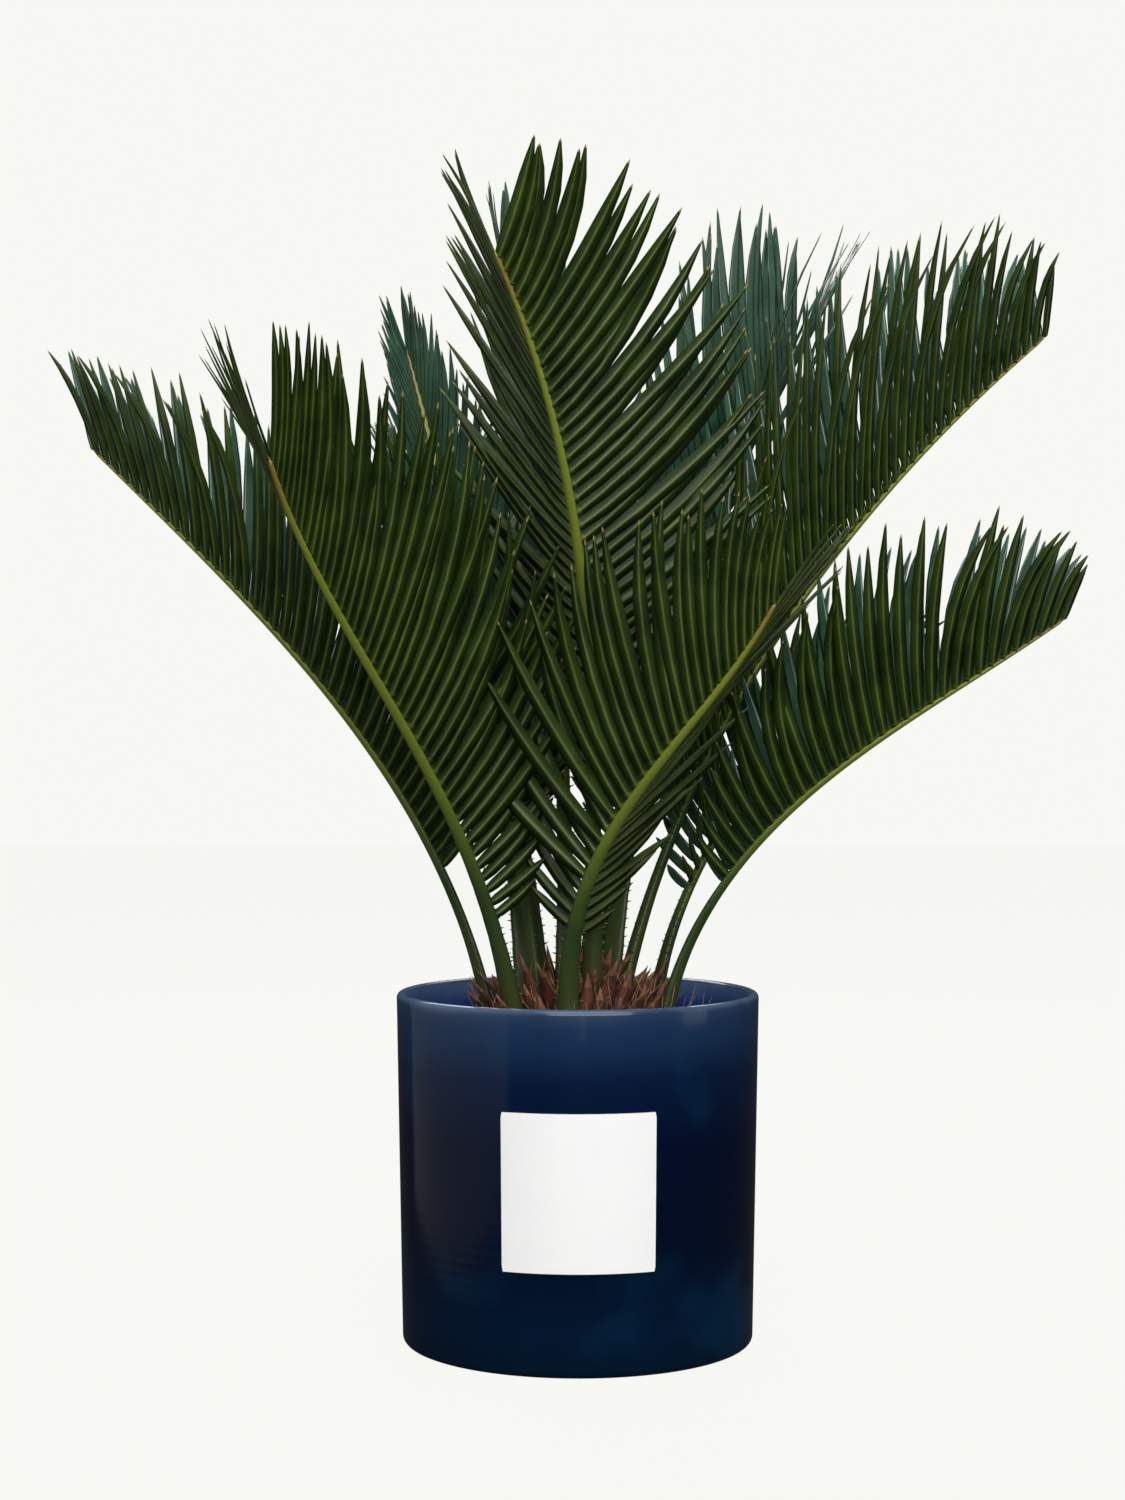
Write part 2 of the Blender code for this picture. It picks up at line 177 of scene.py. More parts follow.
class Sheet(Graph):
    """A material's node tree, round its Principled shader."""

    def __init__(self, name: str) -> None:
        """Start a material.

        Args:
            name: The material's name.
        """
        self.material = bpy.data.materials.new(name)
        self.material.use_nodes = True
        super().__init__(self.material.node_tree)
        self.shader = self.tree.nodes["Principled BSDF"]

    def set(self, **values: object) -> None:
        """Fill the shader's own inputs, named with underscores for spaces."""
        for key, value in values.items():
            self.feed(self.shader.inputs[key.replace("_", " ")], value)

    def place(self, scale: Sequence[float] = (1.0, 1.0, 1.0)) -> Socket:
        """Object coordinates, with each axis scaled."""
        coordinates = self.node("ShaderNodeTexCoord").outputs["Object"]
        return self.node("ShaderNodeMapping", Vector=coordinates, Scale=scale).outputs["Vector"]

    def noise(self, scale: float, detail: float = 4.0, roughness: float = 0.55,
              stretch: Sequence[float] = (1.0, 1.0, 1.0)) -> Socket:
        """Noise on Object coordinates.

        Args:
            scale: Waves for each metre.
            detail: Octaves.
            roughness: How strong the finer octaves are.
            stretch: How much each axis is scaled first.

        Returns:
            The noise's value, 0 to 1.
        """
        made = self.node("ShaderNodeTexNoise", Vector=self.place(stretch), Scale=scale,
                         Detail=detail, Roughness=roughness)
        return made.outputs["Fac"]

    def ramp(self, value: Socket, stops: Sequence[tuple[float, Colour]]) -> Socket:
        """Turn a value into a colour.

        Args:
            value: The socket that drives it.
            stops: Pairs of a position and a colour.

        Returns:
            The colour socket.
        """
        made = self.node("ShaderNodeValToRGB", Fac=value)
        elements = made.color_ramp.elements
        while len(elements) < len(stops):
            elements.new(0.5)
        for element, (position, colour) in zip(elements, stops):
            element.position = position
            element.color = (*colour, 1.0)
        return made.outputs["Color"]

    def levels(self, value: Socket, low: float, high: float) -> Socket:
        """Carry a value from 0 to 1 over to the range from low to high."""
        return self.node("ShaderNodeMapRange", Value=value, To_Min=low,
                         To_Max=high).outputs["Result"]

    def mix(self, share: object, first: object, second: object) -> Socket:
        """Mix two colours.

        Args:
            share: How much of the second.
            first: The first colour.
            second: The second colour.

        Returns:
            The colour socket.
        """
        made = self.node("ShaderNodeMix", {"data_type": "RGBA"})
        for index, value in ((0, share), (6, first), (7, second)):
            self.feed(made.inputs[index], value)
        return made.outputs[2]

    def bump(self, height: Socket, distance: float, strength: float) -> None:
        """Add relief.

        Args:
            height: The height, 0 to 1.
            distance: What 1 stands for, in metres.
            strength: How much of it counts.
        """
        self.set(Normal=self.node("ShaderNodeBump", Height=height, Distance=distance,
                                  Strength=strength).outputs["Normal"])


@dataclass(frozen=True)
class GlazeFinish:
    """A glossy glaze that changes colour from foot to rim, with a pale last stop at the lip that is
    a painted highlight.
    """

    name: str
    height: float
    stops: tuple[tuple[float, Colour], ...]
    dark: Colour
    cloud: Colour
    roughness: float = 0.12

    def make(self) -> bpy.types.Material:
        """Build the glaze, with runs, lighter clouds and faint throwing lines.

        Returns:
            The material.
        """
        sheet = Sheet(self.name)
        height = sheet.node("ShaderNodeSeparateXYZ", Vector=sheet.place()).outputs["Z"]
        wander = sheet.levels(sheet.noise(9.0, 3.0), -0.035, 0.035)
        # The stops end in a pale colour at the lip: a painted highlight.
        colour = sheet.ramp(sheet.math("MULTIPLY_ADD", height, 1.0 / self.height, wander),
                            self.stops)
        runs = sheet.noise(42.0, 5.0, 0.6, (1.0, 1.0, 0.12))
        colour = sheet.mix(sheet.levels(runs, 0.0, 0.45), colour, self.dark)
        clouds = sheet.ramp(sheet.noise(15.0, 2.0), ((0.54, (0.0, 0.0, 0.0)),
                                                     (0.74, (0.45, 0.45, 0.45))))
        speckle = sheet.noise(900.0, 2.0)
        lines = sheet.node("ShaderNodeTexWave", {"bands_direction": "Z"},
                           Vector=sheet.place((0.0, 0.0, 1.0)), Scale=55.0, Distortion=1.2,
                           Detail=2.0)
        sheet.bump(lines.outputs["Fac"], 0.00005, 0.12)
        sheet.set(Base_Color=sheet.mix(clouds, colour, self.cloud), IOR=1.5,
                  Roughness=sheet.levels(speckle, self.roughness * 0.7, self.roughness * 1.5))
        return sheet.material


@dataclass(frozen=True)
class PaperFinish:
    """A plain matt paper sticker."""

    name: str
    colour: Colour
    shade: Colour

    def make(self) -> bpy.types.Material:
        """Build the paper, with a faint mottle and a fibre relief.

        Returns:
            The material.
        """
        sheet = Sheet(self.name)
        sheet.bump(sheet.noise(1800.0, 3.0), 0.00003, 0.5)
        sheet.set(Roughness=0.55, Base_Color=sheet.ramp(
            sheet.noise(60.0, 6.0), ((0.3, self.shade), (0.65, self.colour))))
        return sheet.material


@dataclass(frozen=True)
class EarthFinish:
    """Loose material, such as soil or dry husk, in two mixed colours."""

    name: str
    light: Colour
    dark: Colour
    grain: float
    relief: float
    stretch: tuple[float, float, float] = (1.0, 1.0, 1.0)

    def make(self) -> bpy.types.Material:
        """Build the mixed, rough colour with relief at its grain.

        Returns:
            The material.
        """
        sheet = Sheet(self.name)
        coarse = sheet.noise(self.grain, 8.0, 0.65, self.stretch)
        sheet.bump(sheet.noise(self.grain * 4.0, 6.0, stretch=self.stretch), self.relief, 0.8)
        sheet.set(Base_Color=sheet.ramp(coarse, ((0.35, self.dark), (0.68, self.light))),
                  Roughness=0.9)
        return sheet.material


@dataclass(frozen=True)
class LeafFinish:
    """One face of a waxy leaflet."""

    name: str
    light: Colour
    dark: Colour
    roughness: float = 0.42
    coat: float = 0.0

    def make(self) -> bpy.types.Material:
        """Build the leaf surface, with broad tints and a fine waxy relief.

        Returns:
            The material.
        """
        sheet = Sheet(self.name)
        tint = sheet.noise(38.0, 5.0, 0.6)
        sheet.bump(sheet.noise(1400.0, 2.0), 0.00004, 0.4)
        sheet.set(Base_Color=sheet.ramp(tint, ((0.32, self.dark), (0.70, self.light))),
                  Roughness=self.roughness, Coat_Weight=self.coat, Coat_Roughness=0.18)
        return sheet.material


@dataclass(frozen=True)
class RibFinish:
    """The skin of a stalk, which changes colour along its length."""

    name: str
    stops: tuple[tuple[float, Colour], ...]
    fleck: Colour

    def make(self) -> bpy.types.Material:
        """Build the skin from the piece's own attribute "along".

        Returns:
            The material.
        """
        sheet = Sheet(self.name)
        share = sheet.node("ShaderNodeAttribute", {"attribute_name": "along"}).outputs["Fac"]
        wander = sheet.levels(sheet.noise(70.0), -0.05, 0.05)
        colour = sheet.ramp(sheet.math("ADD", share, wander), self.stops)
        flecks = sheet.levels(sheet.noise(420.0, 4.0, 0.7), 0.0, 0.4)
        sheet.bump(sheet.noise(900.0, 3.0), 0.00008, 0.5)
        sheet.set(Base_Color=sheet.mix(flecks, colour, self.fleck), Roughness=0.38)
        return sheet.material


@dataclass(frozen=True)
class FloorFinish:
    """The plain pale studio floor, lit evenly from within as a light table is."""

    name: str
    colour: Colour
    glow: float = 0.975
    matt: float = 0.02

    def make(self) -> bpy.types.Material:
        """Build the floor's glow, with a little of its own colour for soft shadows.

        Returns:
            The material.
        """
        sheet = Sheet(self.name)
        sheet.set(Base_Color=tuple(self.matt * value for value in self.colour), Roughness=1.0,
                  Specular_IOR_Level=0.0, Emission_Color=self.colour,
                  Emission_Strength=self.glow)
        return sheet.material


# Meshes and copies


def link_object(name: str, mesh: bpy.types.Mesh) -> bpy.types.Object:
    """Put a mesh in the scene as an object.

    Args:
        name: The object's name.
        mesh: Its mesh.

    Returns:
        The object.
    """
    thing = bpy.data.objects.new(name, mesh)
    bpy.context.scene.collection.objects.link(thing)
    return thing


def add_mesh(name: str, shell: Shell, *materials: bpy.types.Material,
             smooth: bool = True) -> bpy.types.Object:
    """Make an object with its faces turned outward.

    Args:
        name: The object's name.
        shell: Its corner places and faces.
        *materials: Its material slots.
        smooth: Whether it is shaded smooth.

    Returns:
        The object, in the scene.
    """
    mesh = bpy.data.meshes.new(name)
    mesh.from_pydata([tuple(corner) for corner in shell[0]], [], shell[1])
    draft = bmesh.new()
    draft.from_mesh(mesh)
    bmesh.ops.recalc_face_normals(draft, faces=draft.faces)
    draft.to_mesh(mesh)
    draft.free()
    if smooth:
        mesh.shade_smooth()
    for material in materials:
        mesh.materials.append(material)
    return link_object(name, mesh)


def tube(rings: Sequence[Sequence[Vector]], tip: Vector) -> Shell:
    """Join rings of corners into a closed shell that ends in a point.

    Args:
        rings: The rings, each with the same number of corners.
        tip: The point.

    Returns:
        Corner places, and faces ring by ring after the first ring's cap.
    """
    size = len(rings[0])
    vertices = [corner for ring in rings for corner in ring] + [tip]
    faces: list[tuple[int, ...]] = [tuple(range(size))]
    for start in range(0, len(rings) * size, size):
        for corner in range(size):
            here, beside = start + corner, start + (corner + 1) % size
            if start + size < len(vertices) - 1:
                faces.append((here, beside, beside + size, here + size))
            else:
                faces.append((here, beside, len(vertices) - 1))
    return vertices, faces


def zoned(pattern: bpy.types.Object, zones: Sequence[int]) -> bpy.types.Object:
    """Write the zone of each face on a pattern.

    Args:
        pattern: The pattern.
        zones: A number for each of its faces.

    Returns:
        The same pattern.
    """
    pattern.data.attributes.new("zone", "INT", "FACE").data.foreach_set("value", zones)
    return pattern


def declare(piece: bpy.types.Object, slot: str, *nodes: str) -> bpy.types.Object:
    """Tie a finished piece to the frame.

    Args:
        piece: The piece.
        slot: The record's material slot. Not used.
        *nodes: The solids that it stands for.

    Returns:
        The same piece.
    """
    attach(piece, BODY)
    if nodes:
        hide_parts(*nodes)
    return piece


def lathe(profile: Sequence[tuple[float, float]], sides: int) -> Shell:
    """Spin a profile that starts and ends on the axis.

    Args:
        profile: Pairs of radius and height.
        sides: Steps round the axis.

    Returns:
        Corner places and faces.
    """
    vertices: list[Vector] = []
    rings: list[list[int]] = []
    for radius, height in profile:
        count = 1 if radius == 0.0 else sides
        rings.append([len(vertices) + step % count for step in range(sides + 1)])
        for step in range(count):
            angle = math.tau * step / sides
            vertices.append(Vector((radius * math.cos(angle), radius * math.sin(angle), height)))
    faces: list[tuple[int, ...]] = []
    for lower, upper in zip(rings, rings[1:]):
        for step in range(sides):
            corners = (lower[step], lower[step + 1], upper[step + 1], upper[step])
            # At the axis two corners are the same, and one of them drops out.
            faces.append(tuple(dict.fromkeys(corners)))
    return vertices, faces


def arc(centre: tuple[float, float], radius: float, start: float, end: float,
        steps: int) -> list[tuple[float, float]]:
    """Points of a profile's arc.

    Args:
        centre: Radius and height of the arc's centre.
        radius: The arc's own radius.
        start: First angle in degrees, with 0 outward and 90 up.
        end: Last angle.
        steps: Steps between them.

    Returns:
        Pairs of radius and height.
    """
    angles = [math.radians(start + (end - start) * index / steps) for index in range(steps + 1)]
    return [(centre[0] + radius * math.cos(angle), centre[1] + radius * math.sin(angle))
            for angle in angles]


class Layout(Graph):
    """A Geometry Nodes tree with named inputs, which turns a mesh into a plain piece."""

    def __init__(self, name: str, inputs: dict[str, str]) -> None:
        """Start the tree.

        Args:
            name: Its name.
            inputs: Each input's label and kind; the first is the geometry.
        """
        super().__init__(bpy.data.node_groups.new(name, "GeometryNodeTree"))
        self.sockets: dict[str, str] = {}
        for label, kind in inputs.items():
            made = self.tree.interface.new_socket(label, in_out="INPUT",
                                                  socket_type="NodeSocket" + kind)
            self.sockets[label] = made.identifier
        self.tree.interface.new_socket("Piece", in_out="OUTPUT",
                                       socket_type="NodeSocketGeometry")
        self.source = self.node("NodeGroupInput").outputs

    def attribute(self, name: str, kind: str) -> Socket:
        """Read a named attribute of one kind."""
        made = self.node("GeometryNodeInputNamedAttribute", {"data_type": kind}, Name=name)
        return made.outputs["Attribute"]

    def finish(self, geometry: Socket) -> None:
        """Join the last geometry to the output."""
        self.node("NodeGroupOutput", Piece=geometry)

    def run(self, name: str, mesh: bpy.types.Mesh, values: dict[str, object]) -> bpy.types.Object:
        """Run the tree on a mesh and keep its result as a plain mesh.

        Args:
            name: The piece's name.
            mesh: What the tree works on.
            values: What each of the other named inputs gets.

        Returns:
            The piece.
        """
        holder = link_object(name + "_source", mesh)
        modifier = holder.modifiers.new("layout", "NODES")
        modifier.node_group = self.tree
        for label, value in values.items():
            modifier[self.sockets[label]] = value
        graph = bpy.context.evaluated_depsgraph_get()
        real = bpy.data.meshes.new_from_object(holder.evaluated_get(graph))
        real.name = name
        holder.modifiers.clear()
        bpy.data.objects.remove(holder, do_unlink=True)
        return link_object(name, real)


@dataclass
class Place:
    """Where one copy of a pattern stands."""

    position: Vector
    axes: Matrix
    stretch: tuple[float, float, float]
    pattern: int


class Copies:
    """Copies of small patterns, set out at given places by a Geometry Nodes tree."""

    def __init__(self, name: str, patterns: Sequence[bpy.types.Object],
                 materials: Sequence[bpy.types.Material]) -> None:
        """Build the tree.

        Args:
            name: The copies' name.
            patterns: The meshes to copy, numbered in this order.
            materials: The material of each zone that the patterns' faces name.
        """
        self.patterns = bpy.data.collections.new(name + "_patterns")
        for index, pattern in enumerate(patterns):
            pattern.name = f"{name}_{index:03d}"
            for home in list(pattern.users_collection):
                home.objects.unlink(pattern)
            self.patterns.objects.link(pattern)
        inputs = {"Places": "Geometry", "Patterns": "Collection", "Size": "Float"}
        inputs |= {f"Finish {index}": "Material" for index in range(len(materials))}
        self.layout = Layout(name + "_layout", inputs)
        self.values: dict[str, object] = {"Patterns": self.patterns, "Size": 1.0}
        self.values |= {f"Finish {index}": item for index, item in enumerate(materials)}
        self._wire(len(materials))

    def _wire(self, finishes: int) -> None:
        """Lay the nodes out, from the places to one real mesh with its materials.

        Args:
            finishes: How many materials there are.
        """
        layout, source = self.layout, self.layout.source
        patterns = layout.node("GeometryNodeCollectionInfo", Collection=source["Patterns"],
                               Separate_Children=True, Reset_Children=True)
        turn = layout.node("FunctionNodeEulerToRotation",
                           Euler=layout.attribute("turn", "FLOAT_VECTOR"))
        size = layout.node("ShaderNodeVectorMath", {"operation": "SCALE"},
                           Vector=layout.attribute("stretch", "FLOAT_VECTOR"),
                           Scale=source["Size"])
        copies = layout.node("GeometryNodeInstanceOnPoints", Points=source["Places"],
                             Instance=patterns.outputs["Instances"], Pick_Instance=True,
                             Instance_Index=layout.attribute("pattern", "INT"),
                             Rotation=turn.outputs["Rotation"], Scale=size.outputs["Vector"])
        real = layout.node("GeometryNodeRealizeInstances", Geometry=copies.outputs["Instances"])
        zone = layout.attribute("zone", "INT")
        last = real.outputs["Geometry"]
        for index in range(finishes):
            dress = layout.node("GeometryNodeSetMaterial", Geometry=last,
                                Material=source[f"Finish {index}"])
            if finishes > 1:
                same = layout.node("FunctionNodeCompare",
                                   {"data_type": "INT", "operation": "EQUAL"})
                layout.feed(same.inputs[2], zone)
                layout.feed(same.inputs[3], index)
                layout.feed(dress.inputs["Selection"], same.outputs["Result"])
            last = dress.outputs["Geometry"]
        layout.finish(last)

    def lay(self, name: str, places: Sequence[Place]) -> bpy.types.Object:
        """Set the copies out.

        Args:
            name: The piece's name.
            places: Where the copies stand.

        Returns:
            The piece.
        """
        mesh = bpy.data.meshes.new(name + "_places")
        mesh.from_pydata([tuple(place.position) for place in places], [], [])
        turns = [value for place in places for value in place.axes.to_euler()]
        stretches = [value for place in places for value in place.stretch]
        numbers = [place.pattern for place in places]
        for label, kind, key, values in (("turn", "FLOAT_VECTOR", "vector", turns),
                                         ("stretch", "FLOAT_VECTOR", "vector", stretches),
                                         ("pattern", "INT", "value", numbers)):
            mesh.attributes.new(label, kind, "POINT").data.foreach_set(key, values)
        return self.layout.run(name, mesh, self.values)

    def clear(self) -> None:
        """Remove the patterns once every piece is laid."""
        for pattern in list(self.patterns.objects):
            bpy.data.objects.remove(pattern, do_unlink=True)
        bpy.data.collections.remove(self.patterns)


# The plant's rule


class Zone(Enum):
    """The part of a leaflet that a face belongs to."""

    UPPER = 0
    UNDER = 1
    MIDRIB = 2
    TIP = 3


@dataclass(frozen=True)
class FrondPlan:
    """One frond's size and bearing, in degrees; three values run foot, middle, tip."""

    name: str
    seat: tuple[float, float]
    length: float
    leans: tuple[float, float, float]
    headings: tuple[float, float, float]
    leaflet: float
    vee: float = 42.0
    roll: float = 0.0
    forward: tuple[float, float, float] = (70.0, 49.0, 16.0)
    bare: float = 0.30
    fullest: float = 0.40
    tip: float = 0.40


FRONDS = (
    FrondPlan("frond_tall_front", (300, 0.016), 0.455, (3, 22, 37), (278, 258, 230), 0.150,
              vee=44, forward=(64, 62, 36), tip=0.42),
    FrondPlan("frond_high_right", (30, 0.026), 0.492, (12, 34, 50), (14, 10, 6), 0.178, vee=55,
              forward=(44, 48, 52), bare=0.24, fullest=0.42, tip=0.28),
    FrondPlan("frond_left", (184, 0.048), 0.420, (9, 38, 46), (184, 181, 176), 0.124, vee=55,
              forward=(66, 52, 30), bare=0.24, tip=0.52),
    FrondPlan("frond_front_left", (218, 0.045), 0.400, (11, 42, 46), (234, 235, 258), 0.150,
              vee=55, forward=(68, 44, 16), bare=0.18, fullest=0.45, tip=0.50),
    FrondPlan("frond_low_right", (344, 0.050), 0.345, (6, 50, 55), (350, 354, 356), 0.122,
              vee=62, forward=(70, 64, 34), bare=0.28, fullest=0.50, tip=0.28),
    FrondPlan("frond_front_right", (262, 0.042), 0.297, (0, 41, 37), (268, 318, 309), 0.135,
              vee=40, roll=-20, bare=0.20),
    FrondPlan("frond_back_right", (56, 0.033), 0.465, (5, 26, 38), (50, 49, 50), 0.160, vee=62,
              roll=22, forward=(50, 45, 32), fullest=0.60, tip=0.42),
    FrondPlan("frond_back_left", (146, 0.036), 0.422, (4, 16, 24), (140, 134, 128), 0.100,
              vee=60, roll=-35, forward=(60, 38, 12)),
    FrondPlan("frond_tall_back", (110, 0.020), 0.475, (0, 12, 24), (95, 112, 120), 0.120,
              vee=60, forward=(60, 38, 12)),
    FrondPlan("frond_inner_left", (184, 0.024), 0.330, (0, 22, 40), (190, 196, 200), 0.120,
              vee=45),
    FrondPlan("frond_inner_right", (16, 0.045), 0.280, (5, 38, 60), (20, 18, 10), 0.090,
              vee=50),
    FrondPlan("frond_rear_left", (118, 0.046), 0.420, (4, 36, 52), (118, 112, 104), 0.130,
              vee=45),
    FrondPlan("frond_rear_right", (70, 0.048), 0.400, (6, 40, 56), (74, 79, 84), 0.130,
              vee=45),
)


@dataclass
class Crown:
    """The domed top of the stem that the stalks stand on."""

    radius: float = 0.059
    top: float = 0.188
    edge: float = 0.170

    def height(self, radius: float) -> float:
        """Height of the dome at a distance from its axis."""
        return self.top - (self.top - self.edge) * (radius / self.radius) ** 2

    def seat(self, radius: float, azimuth: float) -> tuple[Vector, Vector]:
        """A place on the dome and the way outward there, for an azimuth in radians."""
        outward = Vector((math.cos(azimuth), math.sin(azimuth), 0.0))
        return outward * radius + Vector((0.0, 0.0, self.height(radius))), outward


class Spine:
    """The curved midrib of one frond, by the rule of the solids."""

    steps = 60
    widths = ((0.0, 0.0078), (0.06, 0.0064), (0.15, 0.0051), (0.35, 0.0038), (0.70, 0.0025),
              (1.0, 0.0011))
    flatness = 0.80
    gap = 0.0003
    guard_corners = ((1.0, 0.3), (0.55, -1.0), (-0.55, -1.0), (-1.0, 0.3), (0.0, 0.55))
    guard_stations = 14

    def __init__(self, plan: FrondPlan, crown: Crown) -> None:
        """Walk the midrib from its seat on the crown to its tip.

        Args:
            plan: The frond.
            crown: What it stands on.
        """
        self.plan = plan
        azimuth = math.radians(plan.seat[0])
        self.points = [Vector((plan.seat[1] * math.cos(azimuth),
                               plan.seat[1] * math.sin(azimuth), 0.0))]
        for index in range(self.steps):
            tangent = self.axes((index + 0.5) / self.steps)[0]
            self.points.append(self.points[-1] + tangent * (plan.length / self.steps))
        lowest = min(corner.z - crown.height(math.hypot(corner.x, corner.y))
                     for corner in self.section(0.0, self.guard_corners))
        lift = Vector((0.0, 0.0, self.gap - lowest))
        self.points = [point + lift for point in self.points]

    def axes(self, share: float) -> tuple[Vector, Vector, Vector]:
        """Forward, upper and right-hand directions.

        Args:
            share: The share of the length.

        Returns:
            The three unit vectors.
        """
        lean = math.radians(through_three(self.plan.leans, share))
        heading = math.radians(through_three(self.plan.headings, share))
        outward = Vector((math.cos(heading), math.sin(heading), 0.0))
        tangent = outward * math.sin(lean) + Vector((0.0, 0.0, math.cos(lean)))
        upper = Vector((0.0, 0.0, math.sin(lean))) - outward * math.cos(lean)
        side = tangent.cross(upper)
        roll = math.radians(self.plan.roll)
        upper = upper * math.cos(roll) + side * math.sin(roll)
        return tangent, upper, tangent.cross(upper)

    def point(self, share: float) -> Vector:
        """Find a place on the midrib.

        Args:
            share: The share of the length.

        Returns:
            The place.
        """
        place = min(share, 1.0) * self.steps
        index = min(int(place), self.steps - 1)
        return self.points[index].lerp(self.points[index + 1], place - index)

    def half_width(self, share: float) -> float:
        """Half the midrib's width at a share of the length."""
        return along(self.widths, share)

    def section(self, share: float, corners: Sequence[tuple[float, float]], wide: float = 1.0,
                extra: float = 0.0) -> list[Vector]:
        """Corners round the midrib.

        Args:
            share: The share of the length.
            corners: Their places across and up, with the midrib's half width and depth as 1.
            wide: How much wider than the midrib they stand.
            extra: How much they stand off.

        Returns:
            The corners.
        """
        _, upper, side = self.axes(share)
        half = self.half_width(share) + extra
        place = self.point(share)
        return [place + side * (half * across * wide) + upper * (half * self.flatness * up)
                for across, up in corners]

    def guard(self, extra: float) -> Shell:
        """A plain shell that stands off the midrib, for keeping leaflets off it."""
        rings = [self.section(index / self.guard_stations, self.guard_corners, extra=extra)
                 for index in range(self.guard_stations)]
        return tube(rings, self.point(1.0))


def tree_of(shells: Iterable[Shell]) -> BVHTree:
    """Make a search tree over several shells at once.

    Args:
        shells: Vertices and faces of each.

    Returns:
        The tree.
    """
    vertices: list[Vector] = []
    faces: list[tuple[int, ...]] = []
    for shell_vertices, shell_faces in shells:
        shift = len(vertices)
        vertices += shell_vertices
        faces += [tuple(corner + shift for corner in face) for face in shell_faces]
    return BVHTree.FromPolygons(vertices, faces)


@dataclass
class LeafletPatterns:
    """The few leaflet shapes that the fronds copy: for each hand, length and way of bending."""

    lengths: tuple[float, ...] = (0.026, 0.042, 0.062, 0.084, 0.108, 0.134, 0.162)
    bends: tuple[tuple[float, float], ...] = ((-4.0, 20.0), (3.0, 14.0), (9.0, 28.0))
    half_width: float = 0.0044
    thickness: float = 0.0007
    walk: int = 40
    widths: tuple[tuple[float, float], ...] = (
        (0.0, 0.56), (0.035, 0.70), (0.13, 0.93), (0.30, 1.0), (0.49, 0.99), (0.67, 0.89),
        (0.83, 0.62), (0.965, 0.18), (1.0, 0.0))
    section: tuple[tuple[float, float, float], ...] = (
        (-1.0, 0.02, 0.0), (-0.5, 0.12, 0.0), (0.0, 0.0, 0.0), (0.5, 0.12, 0.0),
        (1.0, 0.02, 0.0), (0.14, 0.02, -1.0), (0.0, 0.0, -1.5), (-0.14, 0.02, -1.0))
    zones: tuple[Zone, ...] = (Zone.UPPER,) * 4 + (Zone.UNDER, Zone.MIDRIB, Zone.MIDRIB,
                                                   Zone.UNDER)

    def number(self, hand: int, length: float, bend: int) -> int:
        """Find the pattern nearest to a leaflet.

        Args:
            hand: 1 or -1.
            length: The leaflet's length.
            bend: Which way of bending.

        Returns:
            The pattern's number.
        """
        nearest = min(range(len(self.lengths)), key=lambda index: abs(self.lengths[index] - length))
        first = 0 if hand > 0 else len(self.lengths) * len(self.bends)
        return first + nearest * len(self.bends) + bend

    def length_of(self, number: int) -> float:
        """Length of a numbered pattern."""
        return self.lengths[number // len(self.bends) % len(self.lengths)]

    def make(self) -> list[bpy.types.Object]:
        """Build every pattern, in the order of their numbers."""
        return [self._leaflet(hand, length, *bend)
                for hand in (1, -1) for length in self.lengths for bend in self.bends]

    def _centre_line(self, hand: int, length: float, drop: float,
                     curl: float) -> list[tuple[Vector, Vector]]:
        """Walk a leaflet's middle.

        Args:
            hand: The side it curls to.
            length: Its length.
            drop: How far its tip drops, in degrees.
            curl: How far it turns to its side, in degrees.

        Returns:
            Place and direction at each station.
        """
        places = [Vector((0.0, 0.0, 0.0))]
        ways = []
        for index in range(self.walk):
            share = (index + 0.5) / self.walk
            sweep = math.radians(curl * share) * hand
            fall = -math.radians(drop * share * share * 2.0)
            ways.append(Vector((math.cos(sweep) * math.cos(fall),
                                math.sin(sweep) * math.cos(fall), math.sin(fall))))
            places.append(places[-1] + ways[-1] * (length / self.walk))
        stations = [min(round(share * self.walk), self.walk) for share, _ in self.widths]
        return [(places[index], ways[min(index, self.walk - 1)]) for index in stations]

    def _leaflet(self, hand: int, length: float, drop: float, curl: float) -> bpy.types.Object:
        """Build one leaflet along +X with its upper face up.

        Args:
            hand: The side it curls to.
            length: Its length.
            drop: How far its tip drops, in degrees.
            curl: How far it turns to its side, in degrees.

        Returns:
            The pattern, with a zone on each face.
        """
        line = self._centre_line(hand, length, drop, curl)
        rings: list[list[Vector]] = []
        for (place, way), (share, width) in zip(line[:-1], self.widths):
            across = Vector((-way.y, way.x, 0.0)).normalized()
            face = way.cross(across)
            half = self.half_width * width
            thin = self.thickness * (1.0 if share < 0.9 else 0.5)
            rings.append([place + across * (half * wide) + face * (half * rise + thin * deep)
                          for wide, rise, deep in self.section])
        zones = [Zone.MIDRIB] * (1 + len(self.section))
        zones += list(self.zones) * (len(rings) - 2) + [Zone.TIP] * len(self.section)
        return zoned(add_mesh("leaflet", tube(rings, line[-1][0])),
                     [zone.value for zone in zones])


